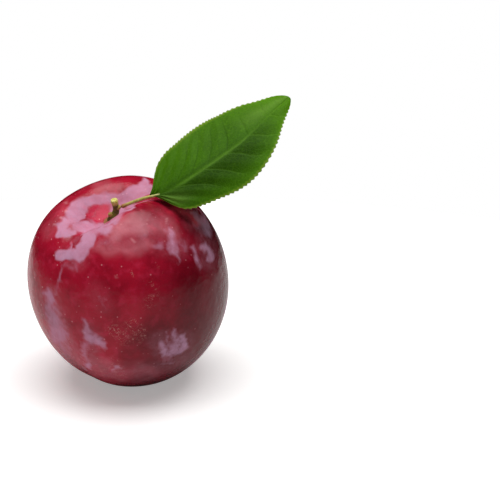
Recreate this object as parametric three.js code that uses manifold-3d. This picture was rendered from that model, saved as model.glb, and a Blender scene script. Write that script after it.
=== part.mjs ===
// A ripe plum as it is picked: the fruit, the short stalk in its stem cavity, and one leaf on its petiole.
// Millimetres, +Z up. The origin is the centre of the small flat spot that the fruit rests on,
// +X points to the side that the leaf grows to, and the suture runs down the -X, -Y side.
import * as THREE from "three";
import { mergeVertices } from "three/addons/utils/BufferGeometryUtils.js";
import Module from "manifold-3d";

const wasm = await Module();
wasm.setup();

const degrees = THREE.MathUtils.degToRad;

// Fruit. Polar angles are measured from the stalk end, and turns round the stem axis from the fruit's own +X.
const FRUIT = {
  centre: new THREE.Vector3(-1.1, -0.9, 31.7),
  leanForward: degrees(10.5), // the stem axis leans towards -Y
  leanLeft: degrees(12), // and towards -X
  halfWidth: 29.9,
  halfLength: 33.4,
  shoulderFullness: 0.02, // wider towards the stalk than towards the blossom end
  cheekFlatness: 0.004, // narrower across the suture than along it
  lumps: { size: 0.011, count: 3, phase: 5.07 },
};
const CAVITY = {
  depth: 11.4,
  radius: 9.7,
  steepness: 2.4,
  stretch: 0.14, // longer along the suture than across it
};
// The rim of the cavity: where it stands higher or lower than a level one, and over how wide a turn.
const RIM = {
  radius: 15,
  spread: 7,
  lifts: [
    { lift: 1.8, turn: degrees(303), halfWidth: degrees(40) },
    { lift: -2.8, turn: degrees(14), halfWidth: degrees(31) }, // the dip that the leaf lies over
    { lift: -1.3, turn: degrees(120), halfWidth: degrees(60) },
  ],
};
const SUTURE = {
  turn: degrees(224),
  halfWidth: degrees(9),
  flare: degrees(7), // added to the half width at the rim of the cavity
  rimAngle: degrees(27),
  rimSpread: degrees(20),
  rimDepth: 1.7,
  bodyDepth: 0.45,
  tipSpread: degrees(24),
  tipDepth: 0.3,
};
const BLOSSOM_END = { depth: 0.8, radius: 3.4 };
const FRUIT_TURNS = 72;
const FRUIT_RINGS = 36;

// Stalk. Its points are in the plum's frame, from the cavity's floor to the scar where it was picked.
const STALK = {
  route: [
    [-5.2, -4.9, 54.0],
    [-5.1, -5.05, 54.55],
    [-4.45, -5.2, 55.45],
    [-4.1, -5.5, 57],
    [-4.3, -6.0, 58.8],
    [-4.6, -6.4, 60.4],
  ],
  radii: [1.3, 1.15, 1.0, 0.92, 0.95, 1.1],
  tube: { sides: 12, steps: 16, startBulge: 0.35, endBulge: -0.25 },
  bud: { at: [-5.75, -5.5, 55.35], radius: 0.75 },
  joint: { at: [-3.4, -5.9, 57.8], radius: 0.75 },
};

// Leaf. The rib starts beside the stalk's joint as the petiole, and runs on under the blade to its tip.
const LEAF = {
  rib: [
    [-2.2, -6.1, 58.2],
    [1.4, -6.6, 59.95],
    [5.0, -7.3, 61.5],
    [8.1, -8.2, 62.65],
    [12.4, -8.6, 64.4],
    [17.7, -7.8, 67.6],
    [21.4, -6.8, 69.85],
    [27.3, -4.2, 73.2],
    [33.7, -0.4, 76.9],
    [40.1, 5.6, 81.3],
    [47.1, 13.6, 84.9],
  ],
  bladeFrom: 0.145, // share of the rib where the blade begins
  rowsTurnFrom: 0.3, // before this share of the rib the rows across the blade stay parallel
  petioleRadius: 0.5,
  ribEndRadius: 0.3,
  tube: { sides: 8, steps: 30, until: 0.95, startBulge: 0.3, endBulge: 0.5 },
  faces: new THREE.Vector3(-0.15, -0.72, 0.68).normalize(), // the way the upper face looks
  // Half widths from base to tip, before the teeth.
  left: [0, 2.8, 10.6, 12.8, 13.8, 11.9, 6.7, 3.5, 0],
  right: [0, 0.8, 7.2, 9.6, 11, 8.3, 4.4, 2, 0],
  thickness: 0.7,
  riseOverRib: 0.3, // of the blade's middle surface over the rib's centre line
  droop: degrees(7.5), // each half falls back from the midrib by this
  curl: 0.05, // and its margin by this share of the width more
  wave: { size: 0.8, count: 1.4, phase: -0.2 }, // of the margin, up and down
  teeth: 40, // along each margin
  toothDepth: 0.4,
  toothLean: 0.7, // where the tip stands between one notch and the next
  // Shares of the blade at which the side veins of each half leave the midrib.
  leftVeins: [0.13, 0.24, 0.36, 0.49, 0.64, 0.8],
  rightVeins: [0.16, 0.33, 0.49, 0.65, 0.82],
  veinSweep: 0.45, // how far a side vein runs forward by the margin, as a share of the blade ahead of it
  quilting: 0.3, // swelling of the blade between its side veins
};
const BLADE_SPAN = [-1, -0.82, -0.56, -0.28, 0, 0.28, 0.56, 0.82, 1];

const gauss = (x) => Math.exp(-x * x);

function smooth(x) {
  const t = THREE.MathUtils.clamp(x, 0, 1);
  return t * t * (3 - 2 * t);
}

// The angle from b to a, between -PI and PI.
function turnBetween(a, b) {
  return Math.atan2(Math.sin(a - b), Math.cos(a - b));
}

// How far the suture's groove presses the skin in.
function groove(theta, phi) {
  const atRim = gauss((theta - SUTURE.rimAngle) / SUTURE.rimSpread);
  const atTip = gauss((Math.PI - theta) / SUTURE.tipSpread);
  const depth = SUTURE.rimDepth * atRim + SUTURE.bodyDepth * Math.sin(theta) + SUTURE.tipDepth * atTip;
  const halfWidth = SUTURE.halfWidth + SUTURE.flare * atRim;
  const awayFromPoles = smooth(theta / 0.35) * smooth((Math.PI - theta) / 0.25);
  return depth * awayFromPoles * gauss(turnBetween(phi, SUTURE.turn) / halfWidth);
}

// A point of the skin in the fruit's own frame, with the stem axis along +Z.
function fruitPoint(theta, phi) {
  const pressed = groove(theta, phi);
  let swell = 1 + FRUIT.shoulderFullness * Math.cos(theta);
  swell += FRUIT.cheekFlatness * Math.cos(2 * (phi - SUTURE.turn)) * Math.sin(theta);
  const { size, count, phase } = FRUIT.lumps;
  swell += size * Math.sin(count * phi + phase) * Math.sin(2 * theta) * Math.sin(theta);
  const radius = (FRUIT.halfWidth * swell - pressed) * Math.sin(theta);
  let height = (FRUIT.halfLength - pressed) * Math.cos(theta);
  if (theta < Math.PI / 2) {
    const mouth = CAVITY.radius * (1 + CAVITY.stretch * Math.cos(2 * (phi - SUTURE.turn)));
    const onRim = gauss((radius - RIM.radius) / RIM.spread) * smooth(radius / 6);
    height -= CAVITY.depth * Math.exp(-Math.pow(radius / mouth, CAVITY.steepness));
    for (const { lift, turn, halfWidth } of RIM.lifts)
      height += lift * onRim * gauss(turnBetween(phi, turn) / halfWidth);
  } else {
    height += BLOSSOM_END.depth * gauss(radius / BLOSSOM_END.radius);
  }
  return new THREE.Vector3(radius * Math.cos(phi), radius * Math.sin(phi), height);
}

// A closed surface over rings of points that run round an axis, with one pole at each end, facing out.
function ringSurface(rings, firstPole, lastPole) {
  const around = rings[0].length;
  const points = [firstPole, ...rings.flat(), lastPole];
  const last = points.length - 1;
  const at = (ring, k) => 1 + ring * around + (k % around);
  const faces = [];
  for (let k = 0; k < around; k++) {
    faces.push(0, at(0, k), at(0, k + 1));
    for (let ring = 0; ring + 1 < rings.length; ring++) {
      faces.push(at(ring, k), at(ring + 1, k), at(ring + 1, k + 1));
      faces.push(at(ring, k), at(ring + 1, k + 1), at(ring, k + 1));
    }
    faces.push(last, at(rings.length - 1, k + 1), at(rings.length - 1, k));
  }
  return new THREE.BufferGeometry().setFromPoints(points).setIndex(faces);
}

// Rings stand closer together near the poles, and turns near the suture, where the skin bends most.
function fruitGeometry() {
  const rings = [];
  for (let i = 1; i < FRUIT_RINGS; i++) {
    const share = i / FRUIT_RINGS;
    const theta = Math.PI * (share - 0.09 * Math.sin(2 * Math.PI * share));
    const ring = [];
    for (let k = 0; k < FRUIT_TURNS; k++) {
      const turn = (2 * Math.PI * k) / FRUIT_TURNS;
      ring.push(fruitPoint(theta, SUTURE.turn + turn - 0.5 * Math.sin(turn)));
    }
    rings.push(ring);
  }
  return ringSurface(rings, fruitPoint(0, 0), fruitPoint(Math.PI, 0));
}

// A tube along a curve, as far as a share of its length. Its radius is a function of the share,
// and each end bulges out or dishes in by a share of its radius.
function tubeGeometry(curve, radiusAt, { sides, steps, until = 1, startBulge, endBulge }) {
  const rings = [];
  const side = new THREE.Vector3(0.3, 1, 0.1);
  for (let i = 0; i <= steps; i++) {
    const share = (until * i) / steps;
    const forward = curve.getTangentAt(share);
    const across = new THREE.Vector3().crossVectors(side, forward).normalize();
    const up = new THREE.Vector3().crossVectors(forward, across);
    const ring = [];
    for (let k = 0; k < sides; k++) {
      const turn = (2 * Math.PI * k) / sides;
      const out = across.clone().multiplyScalar(Math.cos(turn)).addScaledVector(up, -Math.sin(turn));
      ring.push(curve.getPointAt(share).addScaledVector(out, radiusAt(share)));
    }
    rings.push(ring);
  }
  const start = curve.getPointAt(0).addScaledVector(curve.getTangentAt(0), -startBulge * radiusAt(0));
  const end = curve.getPointAt(until).addScaledVector(curve.getTangentAt(until), endBulge * radiusAt(until));
  return ringSurface(rings, start, end);
}

function curveThrough(points) {
  return new THREE.CatmullRomCurve3(points.map((p) => new THREE.Vector3(...p)), false, "centripetal");
}

// The value at a share of the way through a list of evenly spaced values.
function blendAlong(values, share) {
  const place = share * (values.length - 1);
  const i = Math.min(values.length - 2, Math.floor(place));
  return THREE.MathUtils.lerp(values[i], values[i + 1], smooth(place - i));
}

// Half the width of the blade at a share of its length. The widths stand at even steps of an angle that opens
// from the base to the tip, which rounds both ends, with a smooth curve through them.
function bladeHalfWidth(widths, share) {
  const place = (Math.acos(1 - 2 * share) / Math.PI) * (widths.length - 1);
  const i = Math.min(widths.length - 2, Math.floor(place));
  const before = widths[i - 1] ?? -widths[1];
  const after = widths[i + 2] ?? -widths[i];
  const t = place - i;
  const rise = widths[i + 1] - widths[i];
  const leave = (widths[i + 1] - before) / 2;
  const reach = (after - widths[i]) / 2;
  const squared = 3 * rise - 2 * leave - reach;
  const cubed = leave + reach - 2 * rise;
  return widths[i] + leave * t + squared * t * t + cubed * t * t * t;
}

// Counts side veins along the midrib: a whole number where one leaves it, halves midway between two.
function veinPlace(starts, share) {
  const marks = [0, ...starts, 1];
  const i = marks.findIndex((mark, k) => k > 0 && share <= mark);
  return i - 1 + (share - marks[i - 1]) / (marks[i] - marks[i - 1]);
}

// The blade's middle surface and its upward direction: share runs from its base to its tip,
// and span across it from -1 at the right margin to 1 at the left.
function bladePoint(rib, share, span) {
  const onRib = LEAF.bladeFrom + (1 - LEAF.bladeFrom) * share;
  const forward = rib.getTangentAt(Math.max(onRib, LEAF.rowsTurnFrom));
  const across = new THREE.Vector3().crossVectors(LEAF.faces, forward).normalize();
  const up = new THREE.Vector3().crossVectors(forward, across);
  const distance = Math.abs(span);
  const fromNotch = (share * LEAF.teeth) % 1;
  const rise = Math.min(fromNotch / LEAF.toothLean, (1 - fromNotch) / (1 - LEAF.toothLean));
  const tooth = LEAF.toothDepth * (rise - 0.5) * smooth((distance - 0.8) / 0.2) * smooth(4 * share);
  const width = bladeHalfWidth(span > 0 ? LEAF.left : LEAF.right, share) + tooth * smooth(8 * (1 - share));
  const starts = span > 0 ? LEAF.leftVeins : LEAF.rightVeins;
  const vein = veinPlace(starts, share - LEAF.veinSweep * distance * (1 - share));
  const swelling = LEAF.quilting * Math.pow(Math.sin(Math.PI * vein), 2) * Math.sin(Math.PI * distance);
  const waving = Math.sin(2 * Math.PI * LEAF.wave.count * share + LEAF.wave.phase + (span > 0 ? 0 : 1.7));
  let lift = LEAF.riseOverRib * smooth(6 * share) + swelling;
  lift -= width * (distance * Math.sin(LEAF.droop) + LEAF.curl * distance * distance);
  lift += LEAF.wave.size * waving * distance * distance * Math.sin(Math.PI * share);
  const place = rib.getPointAt(onRib).addScaledVector(across, span * width * Math.cos(LEAF.droop));
  return { place: place.addScaledVector(up, lift), up };
}

// The blade as a thin closed body: an upper and a lower sheet of one grid, joined round the margin.
// Each tooth has a station at its notch and one at its tip.
function bladeGeometry(rib) {
  const shares = [0.004];
  for (let tooth = 0; tooth < LEAF.teeth; tooth++) {
    if (tooth > 0) shares.push(tooth / LEAF.teeth);
    shares.push((tooth + LEAF.toothLean) / LEAF.teeth);
  }
  shares.push(0.996);
  const upper = [];
  const lower = [];
  for (const share of shares) {
    for (const span of BLADE_SPAN) {
      const { place, up } = bladePoint(rib, share, span);
      upper.push(place.clone().addScaledVector(up, LEAF.thickness / 2));
      lower.push(place.clone().addScaledVector(up, -LEAF.thickness / 2));
    }
  }
  const columns = BLADE_SPAN.length;
  const below = upper.length;
  const faces = [];
  const quad = (a, b, c, d) => faces.push(a, b, c, a, c, d);
  for (let i = 0; i + 1 < shares.length; i++) {
    for (let j = 0; j + 1 < columns; j++) {
      const a = i * columns + j;
      const b = a + columns;
      faces.push(a, b, b + 1, a, b + 1, a + 1);
      faces.push(below + a, below + b + 1, below + b, below + a, below + a + 1, below + b + 1);
    }
    const right = i * columns;
    const left = right + columns - 1;
    quad(right, below + right, below + right + columns, right + columns);
    quad(left, left + columns, below + left + columns, below + left);
  }
  const end = (shares.length - 1) * columns;
  for (let j = 0; j + 1 < columns; j++) {
    quad(j, j + 1, below + j + 1, below + j);
    quad(end + j, below + end + j, below + end + j + 1, end + j + 1);
  }
  return new THREE.BufferGeometry().setFromPoints([...upper, ...lower]).setIndex(faces);
}

// Solids for joining and cutting.
function solid(geometry) {
  const merged = mergeVertices(geometry.clone().deleteAttribute("normal").deleteAttribute("uv"), 1e-4);
  return new wasm.Manifold(
    new wasm.Mesh({
      numProp: 3,
      vertProperties: new Float32Array(merged.attributes.position.array),
      triVerts: new Uint32Array(merged.index.array),
    }),
  );
}

function geometryOf(manifold) {
  const { vertProperties, triVerts } = manifold.getMesh();
  const geometry = new THREE.BufferGeometry();
  geometry.setAttribute("position", new THREE.BufferAttribute(new Float32Array(vertProperties), 3));
  geometry.setIndex(new THREE.BufferAttribute(new Uint32Array(triVerts), 1));
  geometry.computeVertexNormals();
  return geometry;
}

function ball({ at, radius }) {
  return solid(new THREE.IcosahedronGeometry(radius, 2).translate(...at));
}

function makeFruit() {
  const geometry = fruitGeometry();
  const lean = new THREE.Euler(FRUIT.leanForward, -FRUIT.leanLeft, 0, "YXZ");
  geometry.applyMatrix4(new THREE.Matrix4().makeRotationFromEuler(lean));
  geometry.translate(...FRUIT.centre);
  const ground = new THREE.BoxGeometry(100, 100, 20).translate(0, 0, -10);
  return geometryOf(solid(geometry).subtract(solid(ground)));
}

function makeStalk() {
  const body = tubeGeometry(curveThrough(STALK.route), (s) => blendAlong(STALK.radii, s), STALK.tube);
  return geometryOf(solid(body).add(ball(STALK.bud)).add(ball(STALK.joint)));
}

function makeLeaf() {
  const rib = curveThrough(LEAF.rib);
  const ribRadius = (share) => THREE.MathUtils.lerp(LEAF.petioleRadius, LEAF.ribEndRadius, share);
  return geometryOf(solid(tubeGeometry(rib, ribRadius, LEAF.tube)).add(solid(bladeGeometry(rib))));
}

const skin = new THREE.MeshStandardMaterial({ color: 0x8e1a2e, roughness: 0.35, metalness: 0 });
const bark = new THREE.MeshStandardMaterial({ color: 0x5a6b1e, roughness: 0.7, metalness: 0 });
const foliage = new THREE.MeshStandardMaterial({ color: 0x3c7818, roughness: 0.45, metalness: 0 });

function part(name, geometry, material) {
  const mesh = new THREE.Mesh(geometry, material);
  mesh.name = name;
  return mesh;
}

const plum = new THREE.Group();
plum.add(part("fruit", makeFruit(), skin));
plum.add(part("stalk", makeStalk(), bark));
plum.add(part("leaf", makeLeaf(), foliage));

export default plum;
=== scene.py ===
"""A ripe red plum with its stalk and one leaf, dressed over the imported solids.

Sizes are millimetres in the plum's own frame: the origin is the middle of the flat spot that the fruit rests on,
+Z is up, +X is the side that the leaf grows to, and the camera looks along +Y and down. Meshes are made in metres.
"""

import logging
import math
from dataclasses import dataclass, field
from enum import Enum

import bpy
import numpy as np
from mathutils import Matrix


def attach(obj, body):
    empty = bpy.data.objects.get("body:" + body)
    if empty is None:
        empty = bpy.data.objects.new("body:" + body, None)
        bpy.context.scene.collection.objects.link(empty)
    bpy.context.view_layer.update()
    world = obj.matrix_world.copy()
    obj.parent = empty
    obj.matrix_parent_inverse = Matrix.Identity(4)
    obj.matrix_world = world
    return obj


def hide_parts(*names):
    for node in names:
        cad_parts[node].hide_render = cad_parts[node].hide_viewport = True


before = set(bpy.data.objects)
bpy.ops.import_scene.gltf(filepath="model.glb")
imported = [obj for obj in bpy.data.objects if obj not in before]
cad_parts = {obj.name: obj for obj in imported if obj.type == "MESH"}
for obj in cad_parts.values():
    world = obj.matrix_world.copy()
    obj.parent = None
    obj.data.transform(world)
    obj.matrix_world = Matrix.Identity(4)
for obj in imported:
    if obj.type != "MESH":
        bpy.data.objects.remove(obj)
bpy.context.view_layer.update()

MM = 0.001
log = logging.getLogger("plum")

Point = tuple[float, float, float]
Pixel = tuple[float, float]
Colour = tuple[float, float, float, float]
Socket = bpy.types.NodeSocket
Given = Socket | float | Colour | Point


# Small numeric helpers


def gauss(x: np.ndarray) -> np.ndarray:
    """The bell exp(-x squared)."""
    return np.exp(-x * x)


def smooth(x: np.ndarray) -> np.ndarray:
    """A step from 0 at 0 to 1 at 1 with level ends."""
    t = np.clip(x, 0.0, 1.0)
    return t * t * (3.0 - 2.0 * t)


def turn_between(a: np.ndarray, b: float) -> np.ndarray:
    """The angle from b to a, between minus and plus half a turn."""
    return np.arctan2(np.sin(a - b), np.cos(a - b))


def unit(vectors: np.ndarray) -> np.ndarray:
    """The vectors at length one."""
    return vectors / np.maximum(np.linalg.norm(vectors, axis=-1, keepdims=True), 1e-12)


def even_turns(count: int) -> np.ndarray:
    """Angles at even steps round a full turn, from 0."""
    return np.arange(count) / count * 2 * np.pi


def ripples(points: np.ndarray, scale: float, seed: int, waves: int = 9) -> np.ndarray:
    """A smooth random field over space: a sum of sine waves in seeded directions.

    Args:
        points: places in millimetres, in an array whose last axis is x, y, z.
        scale: the typical length of a wave in millimetres.
        seed: picks the directions and phases, the same ones in each run.
        waves: how many sine waves are added.

    Returns:
        The field at each point, spread evenly round zero with a deviation of about one.
    """
    chance = np.random.default_rng(seed)
    ways = unit(chance.normal(size=(waves, 3))) * chance.uniform(0.6, 1.6, (waves, 1)) * (2 * np.pi / scale)
    phases = chance.uniform(0, 2 * np.pi, waves)
    return np.sin(points @ ways.T + phases).sum(-1) * math.sqrt(2.0 / waves)


def colour_from_hex(code: str) -> Colour:
    """The scene-linear colour of a screen colour: each part over 255, with the screen's curve undone.

    Args:
        code: six hexadecimal digits, red first.

    Returns:
        Red, green and blue, and an alpha of one.
    """
    parts = [int(code[i : i + 2], 16) / 255.0 for i in (0, 2, 4)]
    linear = [c / 12.92 if c <= 0.04045 else ((c + 0.055) / 1.055) ** 2.4 for c in parts]
    return (*linear, 1.0)


@dataclass
class Curve:
    """A smooth curve through points: a centripetal Catmull-Rom spline, sampled evenly by its length."""

    points: tuple[Point, ...]
    samples: int = 600
    samples_between: int = 120

    def __post_init__(self) -> None:
        """Works out the samples: between each two points a cubic with the centripetal tangents."""
        p = np.array(self.points)
        p = np.vstack([2 * p[0] - p[1], p, 2 * p[-1] - p[-2]])
        pieces = []
        for i in range(1, len(p) - 2):
            d0, d1, d2 = (math.sqrt(np.linalg.norm(p[i + k] - p[i + k - 1])) for k in range(3))
            leave = ((p[i] - p[i - 1]) / d0 - (p[i + 1] - p[i - 1]) / (d0 + d1) + (p[i + 1] - p[i]) / d1) * d1
            reach = ((p[i + 1] - p[i]) / d1 - (p[i + 2] - p[i]) / (d1 + d2) + (p[i + 2] - p[i + 1]) / d2) * d1
            t = np.linspace(0, 1, self.samples_between, endpoint=i == len(p) - 3)[:, None]
            step = p[i + 1] - p[i]
            cubic = (3 * step - 2 * leave - reach) * t**2 + (leave + reach - 2 * step) * t**3
            pieces.append(p[i] + leave * t + cubic)
        fine = np.vstack(pieces)
        run = np.concatenate([[0], np.cumsum(np.linalg.norm(np.diff(fine, axis=0), axis=1))])
        even = np.linspace(0, run[-1], self.samples)
        self.line = np.stack([np.interp(even, run, fine[:, k]) for k in range(3)], axis=1)
        self.ways = unit(np.gradient(self.line, axis=0))

    def at(self, share: np.ndarray) -> np.ndarray:
        """The points at shares of the length."""
        place = np.linspace(0, 1, self.samples)
        return np.stack([np.interp(share, place, self.line[:, k]) for k in range(3)], axis=-1)

    def forward(self, share: np.ndarray) -> np.ndarray:
        """The unit tangents at shares of the length."""
        place = np.linspace(0, 1, self.samples)
        return unit(np.stack([np.interp(share, place, self.ways[:, k]) for k in range(3)], axis=-1))


# Meshes from grids


@dataclass
class Shape:
    """Points and faces that become one mesh, with values kept at its points."""

    points: np.ndarray
    faces: list[np.ndarray]
    values: dict[str, np.ndarray] = field(default_factory=dict)
    uv: np.ndarray | None = None

    def joined(self, other: "Shape") -> "Shape":
        """This shape and another as one mesh of two bodies, with zeros where one lacks a value.

        Args:
            other: the shape that is added, whose points come after this one's.

        Returns:
            The shape of both.
        """
        count, extra = len(self.points), len(other.points)
        values = {
            name: np.concatenate([self.values.get(name, np.zeros(count)), other.values.get(name, np.zeros(extra))])
            for name in sorted(set(self.values) | set(other.values))
        }
        return Shape(np.vstack([self.points, other.points]), self.faces + [f + count for f in other.faces], values)

    def piece(self, name: str) -> bpy.types.Object:
        """The finished object, at the origin, with smooth faces.

        Args:
            name: the object's and the mesh's name.

        Returns:
            The object, linked to the scene.
        """
        mesh = bpy.data.meshes.new(name)
        loops = np.concatenate([f.ravel() for f in self.faces]).astype(np.int32)
        sizes = np.concatenate([np.full(len(f), f.shape[1]) for f in self.faces])
        starts = np.concatenate([[0], np.cumsum(sizes)[:-1]]).astype(np.int32)
        mesh.vertices.add(len(self.points))
        mesh.vertices.foreach_set("co", (self.points * MM).astype(np.float32).ravel())
        mesh.loops.add(len(loops))
        mesh.loops.foreach_set("vertex_index", loops)
        mesh.polygons.add(len(starts))
        mesh.polygons.foreach_set("loop_start", starts)
        mesh.update(calc_edges=True)
        mesh.validate()
        mesh.shade_smooth()
        if self.uv is not None:
            layer = mesh.uv_layers.new(name="UVMap")
            layer.uv.foreach_set("vector", self.uv[loops].astype(np.float32).ravel())
        for key, value in self.values.items():
            kept = mesh.attributes.new(key, "FLOAT", "POINT")
            kept.data.foreach_set("value", value.astype(np.float32).ravel())
        obj = bpy.data.objects.new(name, mesh)
        bpy.context.collection.objects.link(obj)
        return obj


def band(rings: int, around: int) -> np.ndarray:
    """Quads between rings, ring i holding the points from i * around on.

    Args:
        rings: how many rings there are.
        around: points on each ring, counter-clockwise seen from before the first one.

    Returns:
        For each point of a ring but the last, the quad of it, the one below it and the two that follow these.
    """
    k = np.arange(around)
    following = (k + 1) % around
    ring = np.arange(rings - 1)[:, None] * around
    quads = np.stack([ring + k, ring + around + k, ring + around + following, ring + following], axis=-1)
    return quads.reshape(-1, 4)


def fan(pole: int, ring: int, around: int, closing: bool = False) -> np.ndarray:
    """Triangles of a pole with each point of a ring and the one that follows it.

    Args:
        pole: index of the pole.
        ring: index of the ring's first point.
        around: points on the ring.
        closing: whether the pole closes the last ring, where the triangles turn the other way.

    Returns:
        The triangles.
    """
    k = np.arange(around)
    pair = [ring + k, ring + (k + 1) % around]
    return np.stack([np.full(around, pole)] + (pair[::-1] if closing else pair), axis=-1)


def ring_faces(rings: int, around: int) -> list[np.ndarray]:
    """Faces of a closed surface of rings between two poles, facing out where rings run from the top down.

    Args:
        rings: how many rings there are; the first and the last pole come after their points.
        around: points on each ring.

    Returns:
        One array of quads and one of triangles.
    """
    count = rings * around
    ends = [fan(count, 0, around), fan(count + 1, count - around, around, closing=True)]
    return [band(rings, around), np.vstack(ends)]


def spokes(forward: np.ndarray, around: int) -> np.ndarray:
    """Directions evenly round a line and square to it.

    At a turn t they are the cosine of t times a direction across the line, less its sine times the one square to both.
    The direction across is square to a fixed one, which no line of the plum runs along.

    Args:
        forward: unit tangents, one for each place on the line.
        around: how many directions each place has.

    Returns:
        Unit vectors, by place and by direction.
    """
    across = unit(np.cross(np.array([0.3, 1.0, 0.1]), forward))
    up = np.cross(forward, across)
    turn = even_turns(around)
    return across[:, None] * np.cos(turn)[None, :, None] - up[:, None] * np.sin(turn)[None, :, None]


def tube(curve: Curve, shares: np.ndarray, radius: np.ndarray, bulges: Pixel) -> Shape:
    """A closed tube: at each share a ring of points round the curve, at the radius given for each point.

    Args:
        curve: the line that the tube follows.
        shares: the shares of its length that carry a ring.
        radius: one radius in millimetres per ring and point of the ring.
        bulges: how far the start and the end stand out, as shares of their radius.

    Returns:
        The shape, with the value "along", its share of the length.
    """
    rings, around = radius.shape
    forward = curve.forward(shares)
    points = curve.at(shares)[:, None] + spokes(forward, around) * radius[..., None]
    start = curve.at(shares[:1]) - forward[:1] * bulges[0] * radius[0].mean()
    end = curve.at(shares[-1:]) + forward[-1:] * bulges[1] * radius[-1].mean()
    along = np.concatenate([np.repeat(shares, around), shares[:1], shares[-1:]])
    return Shape(np.vstack([points.reshape(-1, 3), start, end]), ring_faces(rings, around), {"along": along})


def ball(at: Point, radius: float, rough: float, seed: int, rings: int = 24, around: int = 36) -> Shape:
    """A small knob: a sphere whose radius swells and shrinks with seeded ripples.

    Args:
        at: its middle in millimetres.
        radius: its mean radius.
        rough: how far the radius strays, as a share.
        seed: picks the ripples.
        rings: rings between its poles.
        around: points on each ring.

    Returns:
        The closed shape.
    """
    ripple_size = 1.4
    theta = (np.arange(1, rings + 1) / (rings + 1) * np.pi)[:, None]
    phi = even_turns(around)[None]
    ways = np.stack([np.sin(theta) * np.cos(phi), np.sin(theta) * np.sin(phi), np.cos(theta) + 0 * phi], axis=-1)
    ways = np.vstack([ways.reshape(-1, 3), [[0, 0, 1.0]], [[0, 0, -1.0]]])
    points = ways * radius * (1 + rough * ripples(ways, ripple_size, seed))[:, None] + np.array(at)
    return Shape(points, ring_faces(rings, around))


# The camera


@dataclass(frozen=True)
class Viewpoint:
    """The photograph's camera: where it stands, and where a place lands on its 500 by 500 frame."""

    target: Point = (35.41, 2.86, 40.15)
    distance: float = 703.0
    elevation: float = math.radians(24.0)
    lens: float = 168.0
    sensor: float = 36.0
    frame_side: float = 500.0
    nearest: float = 0.01
    farthest: float = 20.0

    def axes(self) -> tuple[np.ndarray, np.ndarray, np.ndarray]:
        """The unit vectors to the right, up in the picture, and from the target to the camera."""
        sine, cosine = math.sin(self.elevation), math.cos(self.elevation)
        return np.array([1.0, 0, 0]), np.array([0, sine, cosine]), np.array([0, -cosine, sine])

    def place(self) -> np.ndarray:
        """Where the camera stands, in millimetres."""
        return np.array(self.target) + self.axes()[2] * self.distance

    def project(self, points: np.ndarray) -> np.ndarray:
        """Pixels of points: offsets across and down, over the depth, times the focal length in pixels.

        Args:
            points: places in millimetres, last axis x, y, z.

        Returns:
            Pixels, last axis across and down.
        """
        right, up, back = self.axes()
        offset = points - self.place()
        focal = self.lens / self.sensor * self.frame_side
        scale = focal / -(offset @ back)
        half = self.frame_side / 2
        return np.stack([half + scale * (offset @ right), half - scale * (offset @ up)], axis=-1)

    def make(self) -> None:
        """Creates the camera object and makes it the scene's camera."""
        data = bpy.data.cameras.new("view")
        data.lens = self.lens
        data.sensor_width = self.sensor
        data.clip_start = self.nearest
        data.clip_end = self.farthest
        obj = bpy.data.objects.new("view", data)
        bpy.context.collection.objects.link(obj)
        obj.location = tuple(self.place() * MM)
        obj.rotation_euler = (math.pi / 2 - self.elevation, 0.0, 0.0)
        bpy.context.scene.camera = obj


VIEW = Viewpoint()


# Shader helpers


@dataclass(frozen=True)
class Tint:
    """A screen colour, and the most that it covers of what lies under it."""

    code: str
    most: float = 1.0


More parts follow.
